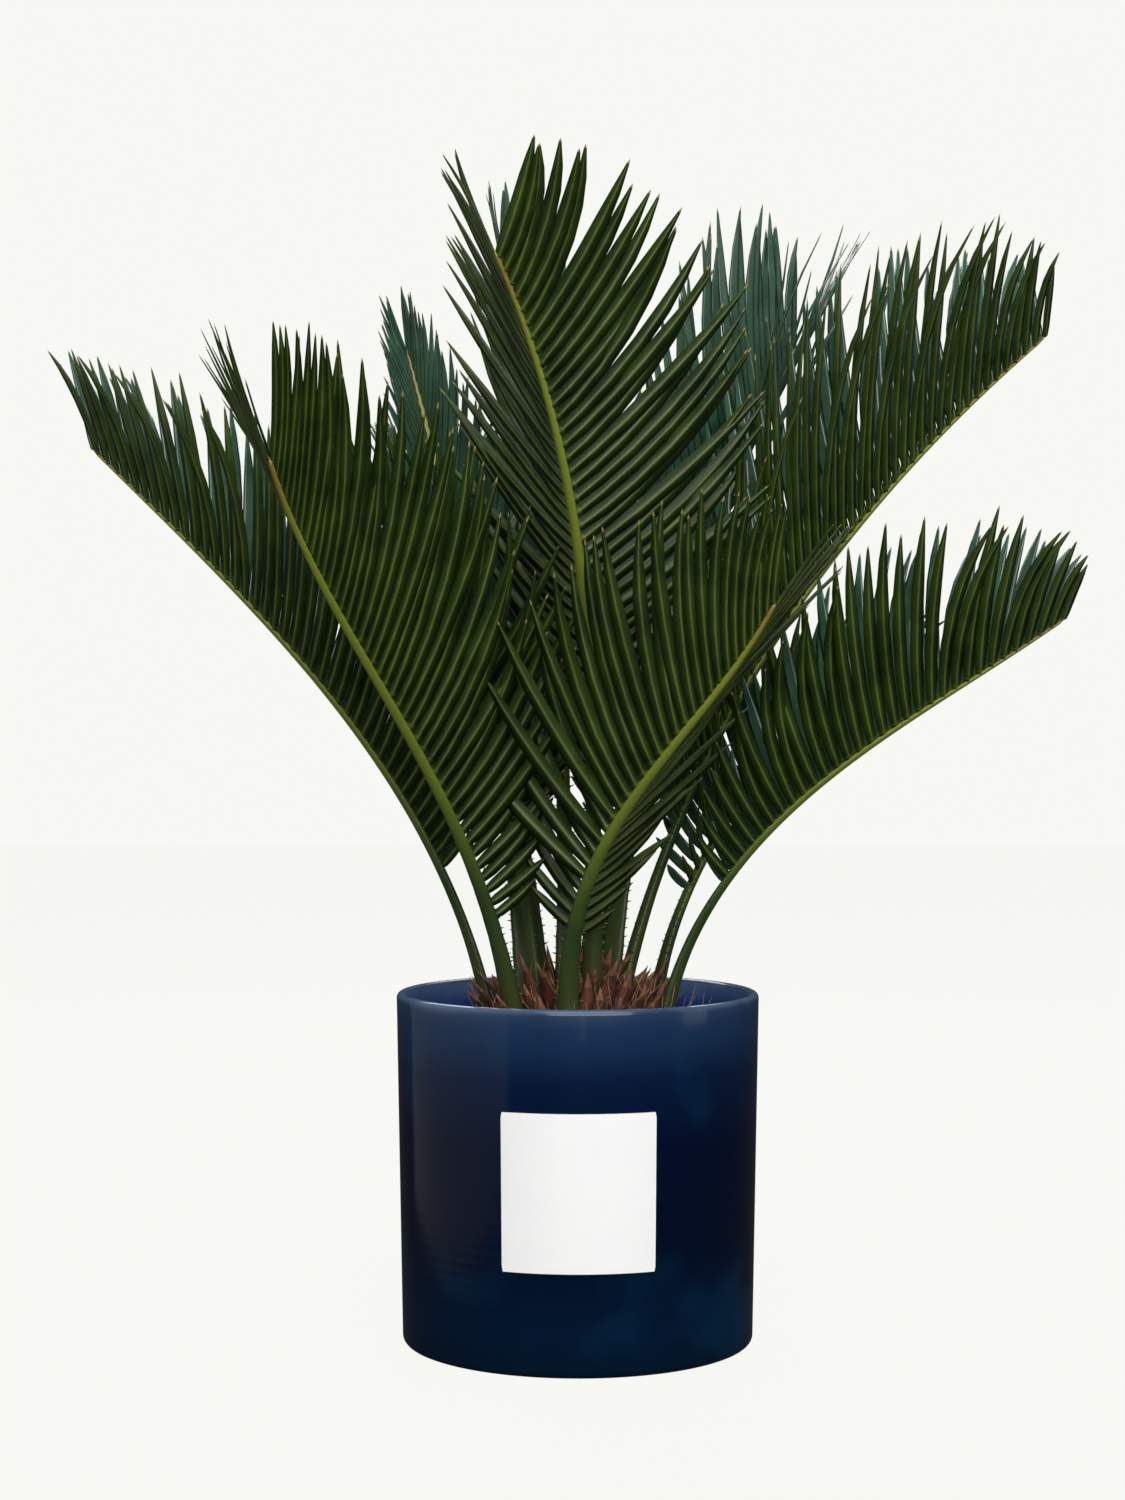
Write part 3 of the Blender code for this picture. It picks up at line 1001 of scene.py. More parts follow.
@dataclass
class Foliage:
    """All the fronds: each with its midrib, its spines and its leaflets."""

    crown: Crown
    spacing: float = 0.0080
    crowding: float = 0.80
    foot_share: float = 0.20
    curl: float = 20.0
    stagger: float = 0.25
    shingle: float = 14.0
    clearance: float = 0.0004
    lengths: tuple[float, float] = (0.91, 1.03)
    angle_spread: float = 1.7
    vee_spread: float = 2.0
    slimmest: float = 0.0024
    shortest_half: float = 0.0022
    half_gain: float = 0.025
    test_depth: float = 0.0012
    turns: tuple[float, ...] = (0.0, 6.0, -6.0, 12.0, -12.0, 18.0)
    cuts: tuple[float, ...] = (1.0, 0.84, 0.68, 0.5)
    rib_stations: int = 64
    rib_corners: tuple[tuple[float, float], ...] = (
        (1.0, 0.22), (0.93, -0.20), (0.68, -0.62), (0.32, -0.92), (0.0, -1.0), (-0.32, -0.92),
        (-0.68, -0.62), (-0.93, -0.20), (-1.0, 0.22), (-0.62, 0.44), (0.0, 0.34), (0.62, 0.44))
    thorn_spacing: float = 0.0052
    thorn_length: float = 0.0028
    thorn_half: float = 0.0006

    def __post_init__(self) -> None:
        """Walk every midrib."""
        self.spines = [Spine(plan, self.crown) for plan in FRONDS]
        self.patterns = LeafletPatterns()

    def share_of_length(self, plan: FrondPlan, place: float) -> float:
        """A leaflet's length as a share of the longest.

        Args:
            plan: The frond.
            place: 0 for the lowest leaflet and 1 at the tip.

        Returns:
            The share.
        """
        if place < plan.fullest:
            rise = math.sin(math.pi / 2 * place / plan.fullest)
            return self.foot_share + (1 - self.foot_share) * rise
        return 1 - (1 - plan.tip) * ((place - plan.fullest) / (1 - plan.fullest)) ** 2

    def leaflet_axes(self, spine: Spine, share: float, hand: int, forward: float,
                     vee: float) -> Matrix:
        """Directions of a leaflet: along it, across it and out of its upper face.

        Args:
            spine: Its midrib.
            share: Where it stands on it.
            hand: 1 or -1.
            forward: Its angle from the midrib, in degrees.
            vee: How far it is raised, in degrees.

        Returns:
            A matrix with these directions as columns.
        """
        tangent, upper, side = spine.axes(share)
        raised = math.radians(vee)
        outward = side * (hand * math.cos(raised)) + upper * math.sin(raised)
        angle = math.radians(forward + self.curl * 0.4)
        way = tangent * math.cos(angle) + outward * math.sin(angle)
        across = (tangent - way * tangent.dot(way)).normalized()
        face = across.cross(way)
        if face.dot(upper) < 0:
            face = -face
        tilt = math.radians(self.shingle)
        face = face * math.cos(tilt) - across * math.sin(tilt)
        return Matrix((way, face.cross(way), face)).transposed()

    def test_shell(self, position: Vector, axes: Matrix, hand: int, length: float,
                   half: float) -> Shell:
        """A plain blade round a leaflet, for keeping it off its neighbours.

        Args:
            position: Its root.
            axes: Its directions.
            hand: The side it curls to.
            length: Its length.
            half: Half its width.

        Returns:
            Vertices and faces.
        """
        way, across, face = axes.transposed()
        rings = []
        for share, wide in ((0.06, 0.5), (0.5, 1.0), (0.85, 0.6)):
            sweep = math.radians(self.curl * share) * hand
            place = position + way * (length * share)
            place += across * (length * math.sin(sweep / 2) * share)
            beside = across * (half * wide + self.clearance)
            rings.append([place + beside + face * self.clearance,
                          place - beside + face * self.clearance,
                          place - face * (self.test_depth + self.clearance)])
        sweep = math.radians(self.curl) * hand
        return tube(rings, position + way * length + across * (length * math.sin(sweep / 2)))

    def grow(self, number: int, guards: Sequence[BVHTree],
             grown: list[BVHTree]) -> list[Place]:
        """Set out one frond's leaflets by the rule of the solids, at their real spacing.

        Args:
            number: Which frond.
            guards: A tree round each midrib.
            grown: Trees of the leaflets that stand already; this frond's is added.

        Returns:
            The leaflets' places.
        """
        spine = self.spines[number]
        plan = spine.plan
        dice = random.Random(SEED * 100 + number)
        obstacles = [guard for index, guard in enumerate(guards) if index != number] + grown
        count = round(plan.length * (1 - plan.bare) / self.spacing)
        places: list[Place] = []
        shells: list[Shell] = []
        for hand in (1, -1):
            for index in range(count):
                place = (index + 0.5 + self.stagger * hand) / count
                share = plan.bare + (1 - plan.bare) * place
                forward = through_three(plan.forward, place)
                forward += dice.uniform(-self.angle_spread, self.angle_spread)
                length = plan.leaflet * self.share_of_length(plan, place)
                length *= dice.uniform(*self.lengths)
                vee = plan.vee + dice.uniform(-self.vee_spread, self.vee_spread)
                bend = dice.randrange(len(self.patterns.bends))
                made = self._stand(spine, share, hand, forward, vee, length, bend, obstacles)
                if made:
                    places.append(made[0])
                    shells.append(made[1])
        grown.append(tree_of(shells))
        return places

    def _stand(self, spine: Spine, share: float, hand: int, forward: float, vee: float,
               length: float, bend: int,
               obstacles: Sequence[BVHTree]) -> Optional[tuple[Place, Shell]]:
        """Find the first turn and length of a leaflet that keeps off the obstacles.

        Args:
            spine: Its midrib.
            share: Where it stands.
            hand: 1 or -1.
            forward: Its angle from the midrib.
            vee: How far it is raised.
            length: Its wanted length.
            bend: Which way it bends.
            obstacles: What it must not touch.

        Returns:
            Its place and test shell, or None.
        """
        half_rib = spine.half_width(share)
        tangent, upper, side = spine.axes(share)
        root = spine.point(share) + side * (hand * 0.62 * half_rib) + upper * (0.10 * half_rib)
        room = self.crowding * self.spacing * math.sin(math.radians(forward))
        half = min(self.patterns.half_width, max(room, self.slimmest),
                   self.shortest_half + length * self.half_gain)
        wide = half / self.patterns.half_width
        for cut in self.cuts:
            for turn in self.turns:
                axes = self.leaflet_axes(spine, share, hand, forward, vee + turn)
                sign = 1 if axes.transposed()[1].dot(tangent) > 0 else -1
                shell = self.test_shell(root, axes, sign, length * cut, half)
                tree = tree_of([shell])
                if any(tree.overlap(obstacle) for obstacle in obstacles):
                    continue
                number = self.patterns.number(sign, length * cut, bend)
                stretch = length * cut / self.patterns.length_of(number)
                return Place(root, axes, (stretch, wide, wide), number), shell
        return None

    def rib(self, spine: Spine, material: bpy.types.Material) -> bpy.types.Object:
        """Build a midrib and stalk: rounded below, with a shallow channel on top.

        Args:
            spine: Its line.
            material: Its skin.

        Returns:
            The piece.
        """
        shares = [index / self.rib_stations for index in range(self.rib_stations)]
        rings = [spine.section(share, self.rib_corners, 1.0 + 0.03 * math.sin(index * 2.4))
                 for index, share in enumerate(shares)]
        piece = add_mesh(spine.plan.name + "_rib", tube(rings, spine.point(1.0)), material)
        values = [share for share in shares for _ in self.rib_corners] + [1.0]
        piece.data.attributes.new("along", "FLOAT", "POINT").data.foreach_set("value", values)
        return piece

    def spine_places(self, spine: Spine) -> list[Place]:
        """Set out the small spines along both edges of a stalk.

        Args:
            spine: The stalk's line.

        Returns:
            Their places.
        """
        dice = random.Random(round(spine.plan.length * 1e4))
        places = []
        share = 0.05
        while share < spine.plan.bare + 0.04:
            tangent, upper, side = spine.axes(share)
            half = spine.half_width(share)
            for hand in (1, -1):
                way = (side * hand + tangent * dice.uniform(0.1, 0.5)
                       + upper * dice.uniform(0.0, 0.4)).normalized()
                across = way.cross(upper).normalized()
                axes = Matrix((way, across, way.cross(across))).transposed()
                root = (spine.point(share + dice.uniform(-0.003, 0.003))
                        + side * (hand * half * 0.93) + upper * (half * 0.15))
                size = dice.uniform(0.7, 1.25)
                places.append(Place(root, axes, (size, size, size), 0))
            share += self.thorn_spacing / spine.plan.length
        return places


def thorn(length: float, half: float) -> bpy.types.Object:
    """Build a small four-sided spine along +X.

    Args:
        length: Its length.
        half: Half its width at the foot.

    Returns:
        The pattern.
    """
    rings = [[Vector((place, wide, 0.0)), Vector((place, 0.0, wide)),
              Vector((place, -wide, 0.0)), Vector((place, 0.0, -wide))]
             for place, wide in ((-0.0004, half), (length * 0.55, half * 0.45))]
    return add_mesh("thorn", tube(rings, Vector((length, 0.0, 0.0002))))


# The pot, its label, the soil and the stem


@dataclass
class Pot:
    """The round glazed pot."""

    height: float = 0.202
    rim_radius: float = 0.105
    base_radius: float = 0.1015
    wall: float = 0.006
    floor: float = 0.009
    foot_round: float = 0.004
    inner_round: float = 0.006
    sides: int = 160
    outer_steps: int = 12
    inner_steps: int = 8

    def outer(self, height: float) -> float:
        """Radius of the outer side at a height."""
        return self.base_radius + (self.rim_radius - self.base_radius) * height / self.height

    def inner(self, height: float) -> float:
        """Radius of the inner side, above its rounded corner.

        Args:
            height: The height.

        Returns:
            The radius.
        """
        foot = self.outer(self.floor) - self.wall
        low = self.floor + self.inner_round
        top = self.height - self.wall / 2
        return foot + (self.outer(top) - self.wall - foot) * (height - low) / (top - low)

    def build(self, outside: bpy.types.Material, inside: bpy.types.Material) -> bpy.types.Object:
        """Spin the pot, with a rounded foot and lip.

        Args:
            outside: The glaze of the outer side and the lip.
            inside: The glaze of the inner side.

        Returns:
            The piece.
        """
        lip = self.wall / 2
        lip_height = self.height - lip
        profile = [(0.0, 0.0), (0.06, 0.0)]
        profile += arc((self.base_radius - self.foot_round, self.foot_round), self.foot_round,
                       -90, 0, 6)
        start = profile[-1]
        end = (self.outer(lip_height), lip_height)
        for step in range(1, self.outer_steps):
            share = step / self.outer_steps
            profile.append((start[0] + (end[0] - start[0]) * share,
                            start[1] + (end[1] - start[1]) * share))
        profile += arc((self.outer(lip_height) - lip, lip_height), lip, 0, 180, 10)
        edge_radius = profile[-1][0]
        low = self.floor + self.inner_round
        for step in range(1, self.inner_steps):
            height = lip_height + (low - lip_height) * step / self.inner_steps
            profile.append((self.inner(height), height))
        profile += arc((self.inner(low) - self.inner_round, low), self.inner_round, 0, -90, 4)
        profile += [(0.05, self.floor), (0.0, self.floor)]
        piece = add_mesh("glazed_pot", lathe(profile, self.sides), outside, inside)
        for face in piece.data.polygons:
            middle = face.center
            if math.hypot(middle.x, middle.y) <= edge_radius + 0.0002 and middle.z > 0.005:
                face.material_index = 1
        return piece


@dataclass
class Label:
    """The blank square paper sticker on the front of the pot."""

    pot: Pot
    low: float = 0.058
    high: float = 0.1455
    half_angle: float = 24.0
    thickness: float = 0.0005
    gap: float = 0.0003
    corner: float = 0.0006
    steps: int = 48
    rows: int = 30

    def build(self, material: bpy.types.Material) -> bpy.types.Object:
        """Wrap the sticker round the pot, with small rounded corners.

        Args:
            material: The paper.

        Returns:
            The piece.
        """
        half = math.radians(self.half_angle)
        radius = self.pot.outer((self.low + self.high) / 2)
        vertices: list[Vector] = []
        for depth in (self.gap, self.gap + self.thickness):
            for row in range(self.rows + 1):
                height = self.low + (self.high - self.low) * row / self.rows
                near = min(height - self.low, self.high - height)
                inset = 0.0
                if near < self.corner:
                    inset = self.corner - math.sqrt(self.corner ** 2 - (self.corner - near) ** 2)
                reach = half - inset / radius
                out = self.pot.outer(height) + depth
                for step in range(self.steps + 1):
                    angle = -math.pi / 2 - reach + 2 * reach * step / self.steps
                    vertices.append(Vector((out * math.cos(angle), out * math.sin(angle), height)))
        size = self.steps + 1
        back = size * (self.rows + 1)
        faces: list[tuple[int, ...]] = []
        for row in range(self.rows):
            for here in range(row * size, row * size + self.steps):
                quad = (here, here + 1, here + size + 1, here + size)
                faces += [quad, tuple(corner + back for corner in quad)]
        border = list(range(size))
        border += [row * size + self.steps for row in range(1, self.rows + 1)]
        border += [self.rows * size + step for step in range(self.steps - 1, -1, -1)]
        border += [row * size for row in range(self.rows - 1, 0, -1)]
        for here, after in zip(border, border[1:] + border[:1]):
            faces.append((here, after, after + back, here + back))
        return add_mesh("blank_label", (vertices, faces), material, smooth=False)


@dataclass
class Soil:
    """The potting soil, with loose grains on its top."""

    pot: Pot
    top: float = 0.160
    edge_drop: float = 0.004
    level_radius: float = 0.071
    gap: float = 0.0003
    sides: int = 120
    rings: int = 26
    grain_size: float = 0.0021
    grain_range: tuple[float, float] = (0.35, 1.15)
    density: float = 42000.0
    grains_from: float = 0.062
    unevenness: float = 0.0022
    highest: float = 0.002

    def build(self, material: bpy.types.Material) -> bpy.types.Object:
        """Build the bed of soil, uneven on top.

        Args:
            material: The soil.

        Returns:
            The piece.
        """
        low = self.pot.floor + self.pot.inner_round
        edge = self.top - self.edge_drop
        profile = [(0.0, self.pot.floor + self.gap)]
        profile += arc((self.pot.inner(low) - self.pot.inner_round, low),
                       self.pot.inner_round - self.gap, -90, 0, 4)
        outer = self.pot.inner(edge) - self.gap
        for ring in range(self.rings, -1, -1):
            radius = outer * ring / self.rings
            share = min((outer - radius) / (outer - self.level_radius), 1.0)
            profile.append((radius, edge + self.edge_drop * share))
        piece = add_mesh("soil_bed", lathe(profile, self.sides), material)
        for corner in piece.data.vertices:
            radius = math.hypot(corner.co.x, corner.co.y)
            if corner.co.z > edge - 0.001 and radius < outer - 0.0005:
                rough = noise.fractal(corner.co * 60.0, 0.7, 2.0, 4)
                corner.co.z += min(self.unevenness * rough, self.highest)
        return piece

    def grains(self, bed: bpy.types.Object, material: bpy.types.Material) -> bpy.types.Object:
        """Scatter loose grains on the bed's open top with a Geometry Nodes tree.

        Args:
            bed: The soil.
            material: The grains' finish.

        Returns:
            The piece.
        """
        surface = bpy.data.meshes.new("open_soil")
        draft = bmesh.new()
        draft.from_mesh(bed.data)
        closed = [face for face in draft.faces if face.normal.z < 0.5
                  or face.calc_center_median().xy.length <= self.grains_from]
        bmesh.ops.delete(draft, geom=closed, context="FACES")
        draft.to_mesh(surface)
        draft.free()
        lump = self._lump()
        piece = self._layout().run("soil_grains", surface, {
            "Density": self.density, "Seed": SEED, "Grain": lump,
            "Smallest": self.grain_range[0], "Largest": self.grain_range[1],
            "Finish": material})
        bpy.data.objects.remove(lump, do_unlink=True)
        return piece

    def _lump(self) -> bpy.types.Object:
        """Build one uneven grain.

        Returns:
            The grain.
        """
        draft = bmesh.new()
        bmesh.ops.create_icosphere(draft, subdivisions=1, radius=self.grain_size)
        for corner in draft.verts:
            corner.co *= 1.0 + 0.35 * noise.noise(corner.co * 700.0)
            corner.co.z *= 0.7
        mesh = bpy.data.meshes.new("grain")
        draft.to_mesh(mesh)
        draft.free()
        return link_object("grain", mesh)

    def _layout(self) -> Layout:
        """Build the scatter tree.

        Returns:
            The tree.
        """
        layout = Layout("soil_grain_layout", {
            "Surface": "Geometry", "Density": "Float", "Seed": "Int", "Grain": "Object",
            "Smallest": "Float", "Largest": "Float", "Finish": "Material"})
        source = layout.source
        spread = layout.node("GeometryNodeDistributePointsOnFaces", Mesh=source["Surface"],
                             Density=source["Density"], Seed=source["Seed"])
        grain = layout.node("GeometryNodeObjectInfo", Object=source["Grain"])
        turn = layout.node("FunctionNodeRandomValue", {"data_type": "FLOAT_VECTOR"},
                           Max=(math.tau, math.tau, math.tau), Seed=source["Seed"])
        size = layout.node("FunctionNodeRandomValue", {"data_type": "FLOAT"},
                           Seed=source["Seed"])
        layout.feed(size.inputs[2], source["Smallest"])
        layout.feed(size.inputs[3], source["Largest"])
        copies = layout.node("GeometryNodeInstanceOnPoints", Points=spread.outputs["Points"],
                             Instance=grain.outputs["Geometry"],
                             Rotation=turn.outputs["Value"], Scale=size.outputs[1])
        real = layout.node("GeometryNodeRealizeInstances", Geometry=copies.outputs["Instances"])
        dress = layout.node("GeometryNodeSetMaterial", Geometry=real.outputs["Geometry"],
                            Material=source["Finish"])
        layout.finish(dress.outputs["Geometry"])
        return layout


@dataclass
class Stem:
    """The short stem: a rough dome under dry pointed scales and loose fibres."""

    crown: Crown
    foot: float = 0.1603
    sides: int = 96
    scale_count: int = 120
    scale_length: float = 0.052
    scale_widths: tuple[tuple[float, float], ...] = (
        (0.0, 0.0074), (0.14, 0.0082), (0.30, 0.0080), (0.46, 0.0070), (0.62, 0.0052),
        (0.78, 0.0030), (0.90, 0.0013), (1.0, 0.0))
    sunk: float = 0.006
    husk_rings: int = 5
    leans: tuple[float, ...] = (4.0, 10.0, 16.0)
    heights: tuple[float, float] = (0.55, 1.20)
    cuts: tuple[float, ...] = (1.0, 0.85, 0.7, 0.55, 0.4)
    spread: float = 18.0
    sway: float = 9.0
    fibre_count: int = 420
    fibre_length: float = 0.030
    fibre_half: float = 0.00035
    fibre_steps: int = 6
    bows: tuple[float, ...] = (0.003, 0.007, -0.005)
    dome_rings: int = 24
    lumps: float = 0.0012

    def build(self, material: bpy.types.Material) -> bpy.types.Object:
        """Build the dome, lumpy with the feet of old stalks.

        Args:
            material: The dry husk.

        Returns:
            The piece.
        """
        radius = self.crown.radius
        profile = [(0.0, self.foot), (radius * 0.5, self.foot), (radius - 0.004, self.foot),
                   (radius, self.foot + 0.004)]
        for step in range(self.dome_rings, -1, -1):
            here = radius * step / self.dome_rings
            profile.append((here, self.crown.height(here)))
        piece = add_mesh("stem_dome", lathe(profile, self.sides), material)
        for corner in piece.data.vertices:
            if corner.co.z > self.foot + 0.003:
                corner.co.z -= self.lumps * abs(noise.fractal(corner.co * 90.0, 0.8, 2.0, 4))
        return piece

    def scale_pattern(self, lean: float) -> bpy.types.Object:
        """Build one scale along +Z: a hollow-backed blade with a drawn-out point.

        Args:
            lean: How far its tip leans outward, to +X, in degrees.

        Returns:
            The pattern, with a zone on each face.
        """
        rings = []
        tip = math.tan(math.radians(lean)) * self.scale_length
        for share, half in self.scale_widths[:-1]:
            height = (self.scale_length + self.sunk) * share - self.sunk
            out = tip * share * share
            thick = 0.0013 * (1.0 - 0.6 * share)
            rings.append([Vector(corner) for corner in (
                (out - half * 0.25, half, height), (out + thick, half * 0.5, height),
                (out + thick * 1.5, 0.0, height), (out + thick, -half * 0.5, height),
                (out - half * 0.25, -half, height), (out - thick * 0.2, 0.0, height))])
        sides = len(rings[0])
        zones = [0] * (1 + self.husk_rings * sides) + [1] * ((len(rings) - self.husk_rings) * sides)
        return zoned(add_mesh("scale", tube(rings, Vector((tip, 0.0, self.scale_length)))), zones)

    def fibre_pattern(self, bow: float) -> bpy.types.Object:
        """Build one loose fibre along +Z.

        Args:
            bow: How far it bows to +X.

        Returns:
            The pattern.
        """
        shares = [step / self.fibre_steps for step in range(self.fibre_steps + 1)]
        middles = [Vector((bow * math.sin(share * 2.2), bow * 0.4 * math.sin(share * 5.0),
                           self.fibre_length * share)) for share in shares]
        rings = []
        for share, middle in zip(shares[:-1], middles):
            thick = self.fibre_half * (1.0 - 0.6 * share)
            rings.append([middle + Vector((thick * math.cos(angle), thick * math.sin(angle), 0.0))
                          for angle in (0.0, math.tau / 3, math.tau * 2 / 3)])
        return add_mesh("fibre", tube(rings, middles[-1]))

    def scale_places(self, ribs: BVHTree) -> list[Place]:
        """Set the scales out in a spiral, between the stalks.

        Args:
            ribs: A tree round the stalks.

        Returns:
            Their places.
        """
        dice = random.Random(SEED)
        golden = math.pi * (3 - math.sqrt(5))
        places = []
        for index in range(self.scale_count):
            radius = (self.crown.radius - 0.004) * math.sqrt((index + 0.5) / self.scale_count)
            root, outward = self.crown.seat(radius, golden * index)
            tall = dice.uniform(*self.heights) * (1 - 0.45 * radius / self.crown.radius)
            tilt = math.radians(self.spread * 0.5 * radius / self.crown.radius
                                + dice.uniform(-self.sway, self.sway))
            up = Vector((0.0, 0.0, math.cos(tilt))) + outward * math.sin(tilt)
            side = up.cross(outward).normalized()
            front = side.cross(up)
            axes = Matrix((front, side, up)).transposed()
            start = root + up * 0.004
            for cut in self.cuts:
                reach = self.scale_length * tall * cut
                if self._free((start + side * 0.005, start - side * 0.005,
                               start + up * (reach - 0.004), start + front * 0.002), ribs):
                    places.append(Place(root, axes, (1.0, 1.0, tall * cut), index % 3))
                    break
        return places

    def _free(self, corners: Sequence[Vector], ribs: BVHTree) -> bool:
        """Whether a wedge with four corners keeps off the stalks."""
        wedge = (list(corners), [(0, 1, 2), (0, 2, 3), (1, 3, 2), (0, 3, 1)])
        return not tree_of([wedge]).overlap(ribs)

    def fibre_places(self, ribs: BVHTree) -> list[Place]:
        """Set loose fibres out among the scales.

        Args:
            ribs: A tree round the stalks.

        Returns:
            Their places.
        """
        dice = random.Random(SEED + 1)
        places = []
        for index in range(self.fibre_count):
            radius = (self.crown.radius - 0.003) * math.sqrt(dice.random())
            root, outward = self.crown.seat(radius, dice.uniform(0, math.tau))
            root.z -= 0.002
            up = Vector((dice.uniform(-0.5, 0.5), dice.uniform(-0.5, 0.5), 1.0)) + outward * 0.25
            up.normalize()
            side = up.cross(outward).normalized()
            axes = Matrix((side.cross(up), side, up)).transposed()
            size = dice.uniform(0.6, 1.3)
            if self._free((root + side * 0.0004, root - side * 0.0004,
                           root + up * (self.fibre_length * size), root + outward * 0.0004),
                          ribs):
                places.append(Place(root, axes, (size, size, size), index % 3))
        return places


# The studio


@dataclass(frozen=True)
class SoftLight:
    """One soft rectangular light: its place, its aim, its width and height, and its watts."""

    name: str
    place: tuple[float, float, float]
    aim: tuple[float, float, float]
    size: tuple[float, float]
    power: float

    def add(self) -> None:
        """Put the light in the scene."""
        data = bpy.data.lights.new(self.name, "AREA")
        data.shape = "RECTANGLE"
        data.size, data.size_y = self.size
        data.energy = self.power
        light = bpy.data.objects.new(self.name, data)
        light.location = self.place
        direction = Vector(self.aim) - Vector(self.place)
        light.rotation_euler = direction.to_track_quat("-Z", "Y").to_euler()
        light.visible_camera = False
        bpy.context.scene.collection.objects.link(light)


LIGHTS = (
    SoftLight("window_left", (-1.15, -0.10, 0.45), (0.0, 0.0, 0.40), (2.10, 1.30), 1.4),
    SoftLight("top_front", (0.1, -0.9, 2.2), (0.0, 0.0, 0.4), (1.8, 1.4), 30.0),
    SoftLight("front", (0.3, -2.2, 1.0), (0.0, 0.0, 0.30), (2.2, 1.2), 32.0),
    SoftLight("top_back", (-0.2, 1.5, 2.0), (0.0, 0.0, 0.4), (2.2, 1.4), 48.0),
    SoftLight("strip_front", (0.10, -1.9, 0.25), (0.0, 0.0, 0.15), (0.05, 0.60), 0.05),
    SoftLight("window_right", (1.4, -0.35, 0.60), (0.0, 0.0, 0.30), (0.50, 1.00), 1.0),
)


@dataclass
class Studio:
    """The camera, the soft lights and the plain floor."""

    lens: float = 65.352
    sensor: float = 36.0
    camera_place: tuple[float, float, float] = (-0.0088, -1.58, 0.3624)
    camera_down: float = 0.74
    floor_half: float = 6.0
    pale: Colour = srgb(247, 248, 243)
    soft: float = 0.60
    below: float = 0.12
    dim: float = 0.03

    def camera(self) -> None:
        """Set the camera at the photograph's viewing angle."""
        data = bpy.data.cameras.new("camera")
        data.sensor_fit = "VERTICAL"
        data.sensor_height = self.sensor
        data.lens = self.lens
        camera = bpy.data.objects.new("camera", data)
        camera.location = self.camera_place
        camera.rotation_euler = (math.radians(90.0 - self.camera_down), 0.0, 0.0)
        bpy.context.scene.collection.objects.link(camera)
        bpy.context.scene.camera = camera

    def build(self) -> None:
        """Make the floor, the lights, the pale surround and the camera."""
        corners = [Vector((x * self.floor_half, y * self.floor_half, 0.0))
                   for x, y in ((-1, -1), (1, -1), (1, 1), (-1, 1))]
        floor = add_mesh("studio_floor", (corners, [(0, 1, 2, 3)]),
                         FloorFinish("pale_floor", self.pale).make(), smooth=False)
        floor.visible_glossy = False
        floor.visible_diffuse = False
        floor.visible_shadow = False
        bpy.context.scene.world = self.air()
        bpy.context.scene.view_settings.view_transform = "Standard"
        for light in LIGHTS:
            light.add()
        self.camera()

    def air(self) -> bpy.types.World:
        """Make the surround: pale where it is seen, soft where it lights, dim where it reflects.

        Returns:
            The world.
        """
        world = bpy.data.worlds.new("studio_air")
        world.use_nodes = True
        graph = Graph(world.node_tree)
        rays = graph.node("ShaderNodeLightPath").outputs
        way = graph.node("ShaderNodeTexCoord").outputs["Generated"]
        height = graph.node("ShaderNodeSeparateXYZ", Vector=way).outputs["Z"]
        soft = graph.node("ShaderNodeMapRange", Value=height, From_Min=-0.25, From_Max=0.6,
                          To_Min=self.below, To_Max=self.soft).outputs["Result"]
        seen = graph.node("ShaderNodeMix", Factor=rays["Is Camera Ray"], A=soft, B=1.0)
        mirrored = graph.node("ShaderNodeMix", Factor=rays["Is Glossy Ray"],
                              A=seen.outputs["Result"], B=self.dim)
        background = world.node_tree.nodes["Background"].inputs
        graph.feed(background["Color"], self.pale)
        graph.feed(background["Strength"], mirrored.outputs["Result"])
        return world


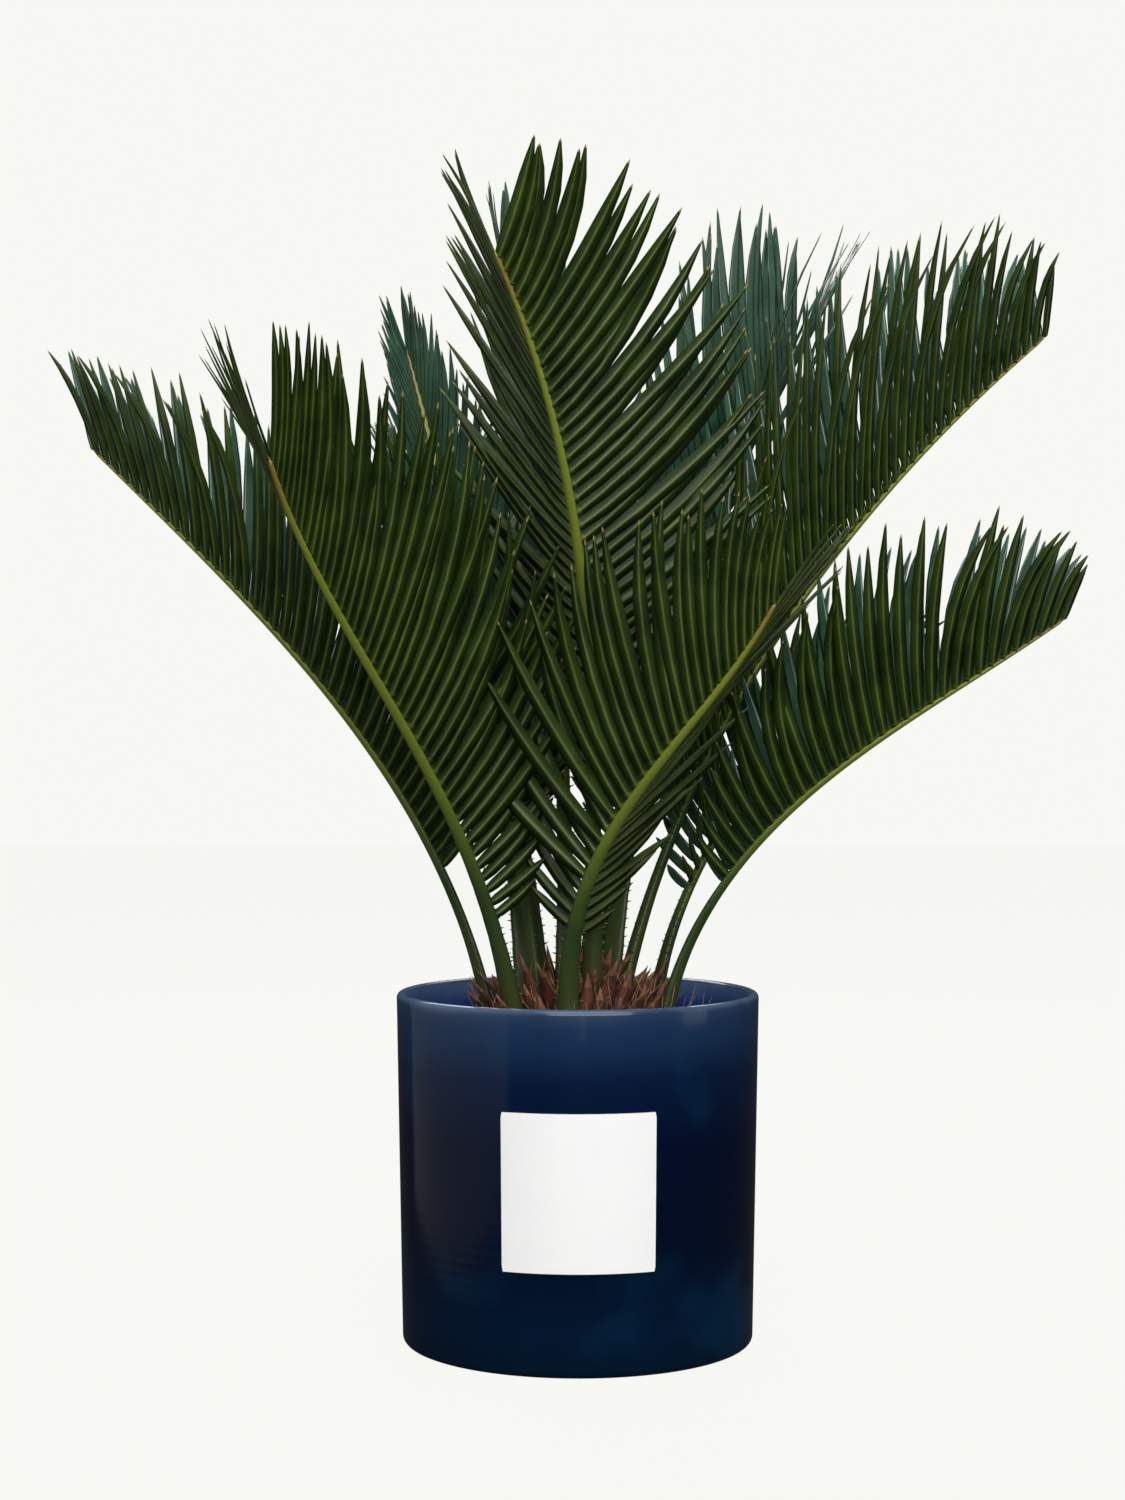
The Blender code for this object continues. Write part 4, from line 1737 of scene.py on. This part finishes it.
def finishes() -> dict[str, bpy.types.Material]:
    """Make every material of the part.

    Returns:
        The materials, each under a short name.
    """
    upright = (1.0, 1.0, 0.15)
    height = Pot().height
    made = {
        "glaze": GlazeFinish("blue_glaze", height, (
            (0.0, srgb(2, 26, 46)), (0.12, srgb(1, 26, 54)), (0.35, srgb(0, 12, 38)),
            (0.62, srgb(0, 12, 42)), (0.80, srgb(5, 28, 62)), (0.90, srgb(24, 52, 88)),
            # The pale last stop, at the lip, is a painted highlight.
            (0.95, srgb(32, 56, 92)), (0.98, srgb(46, 66, 98)), (1.0, srgb(86, 106, 134))),
            srgb(0, 10, 30), srgb(4, 52, 84)),
        "inner_glaze": GlazeFinish("inner_blue_glaze", height, (
            # The pale last stop, at the lip, is a painted highlight.
            (0.75, srgb(2, 14, 50)), (0.90, srgb(0, 54, 140)), (1.0, srgb(92, 120, 164))),
            srgb(2, 10, 36), srgb(6, 56, 120)),
        "paper": PaperFinish("white_paper", srgb(255, 255, 255), srgb(251, 251, 252)),
        "soil": EarthFinish("dark_soil", srgb(74, 56, 42), srgb(34, 25, 18), 260.0, 0.0006),
        "husk": EarthFinish("brown_husk", srgb(108, 56, 38), srgb(44, 22, 16), 300.0, 0.0004,
                            upright),
        "husk_tip": EarthFinish("tan_husk_tip", srgb(150, 100, 68), srgb(80, 46, 32), 300.0,
                                0.0003, upright),
        "fibre": EarthFinish("tan_fibre", srgb(186, 150, 104), srgb(122, 84, 52), 500.0, 0.0001),
        # Upper faces: their own dark blue-green, made lighter and bluer by painted sheen.
        # Undersides: their own yellow-green, made darker by painted shade.
        "upper": LeafFinish("leaf_upper", srgb(62, 96, 74), srgb(32, 60, 44), 0.30, 0.60),
        "under": LeafFinish("leaf_underside", srgb(50, 72, 14), srgb(25, 43, 5)),
        "vein": LeafFinish("leaf_midrib", srgb(96, 108, 44), srgb(60, 78, 26)),
        "tip": LeafFinish("leaf_tip", srgb(150, 128, 62), srgb(110, 96, 44), 0.5),
        "skin": RibFinish("stalk_skin", (
            (0.0, srgb(96, 66, 34)), (0.05, srgb(58, 66, 28)), (0.22, srgb(46, 72, 28)),
            (0.42, srgb(110, 128, 40)), (0.85, srgb(142, 152, 48)), (1.0, srgb(160, 128, 56))),
            srgb(46, 62, 24)),
    }
    return {name: finish.make() for name, finish in made.items()}


def main() -> None:
    """Build every piece in order and report each."""
    logging.basicConfig(level=logging.INFO, format="%(message)s")
    dress = finishes()
    crown = Crown()
    pot = Pot()
    soil = Soil(pot)
    made = [declare(pot.build(dress["glaze"], dress["inner_glaze"]), "glaze", "pot"),
            declare(Label(pot).build(dress["paper"]), "label", "paper_label"),
            declare(soil.build(dress["soil"]), "soil", "soil")]
    made.append(declare(soil.grains(made[-1], dress["soil"]), "soil"))

    foliage = Foliage(crown)
    guards = [tree_of([spine.guard(foliage.clearance)]) for spine in foliage.spines]
    ribs = tree_of([spine.guard(foliage.clearance) for spine in foliage.spines])
    stem = Stem(crown)
    scales = Copies("scale", [stem.scale_pattern(lean) for lean in stem.leans],
                    [dress["husk"], dress["husk_tip"]])
    fibres = Copies("fibre", [stem.fibre_pattern(bow) for bow in stem.bows], [dress["fibre"]])
    made += [declare(stem.build(dress["husk"]), "scales", "stem"),
             declare(scales.lay("stem_scales", stem.scale_places(ribs)), "scales", "stem"),
             declare(fibres.lay("stem_fibres", stem.fibre_places(ribs)), "scales")]

    leaflets = Copies("leaflet", foliage.patterns.make(),
                      [dress[name] for name in ("upper", "under", "vein", "tip")])
    thorns = Copies("thorn", [thorn(foliage.thorn_length, foliage.thorn_half)], [dress["vein"]])
    grown: list[BVHTree] = []
    for number, spine in enumerate(foliage.spines):
        name = spine.plan.name
        places = foliage.grow(number, guards, grown)
        made += [declare(leaflets.lay(name + "_leaflets", places), "frond", name),
                 declare(foliage.rib(spine, dress["skin"]), "frond", name),
                 declare(thorns.lay(name + "_spines", foliage.spine_places(spine)), "frond")]
    for copies in (scales, fibres, leaflets, thorns):
        copies.clear()

    Studio().build()
    total = 0
    for piece in made:
        piece.data.calc_loop_triangles()
        total += len(piece.data.loop_triangles)
        LOG.info("%-28s %7d triangles", piece.name, len(piece.data.loop_triangles))
    LOG.info("%d pieces, %d triangles", len(made), total)


if __name__ == "__main__":
    main()
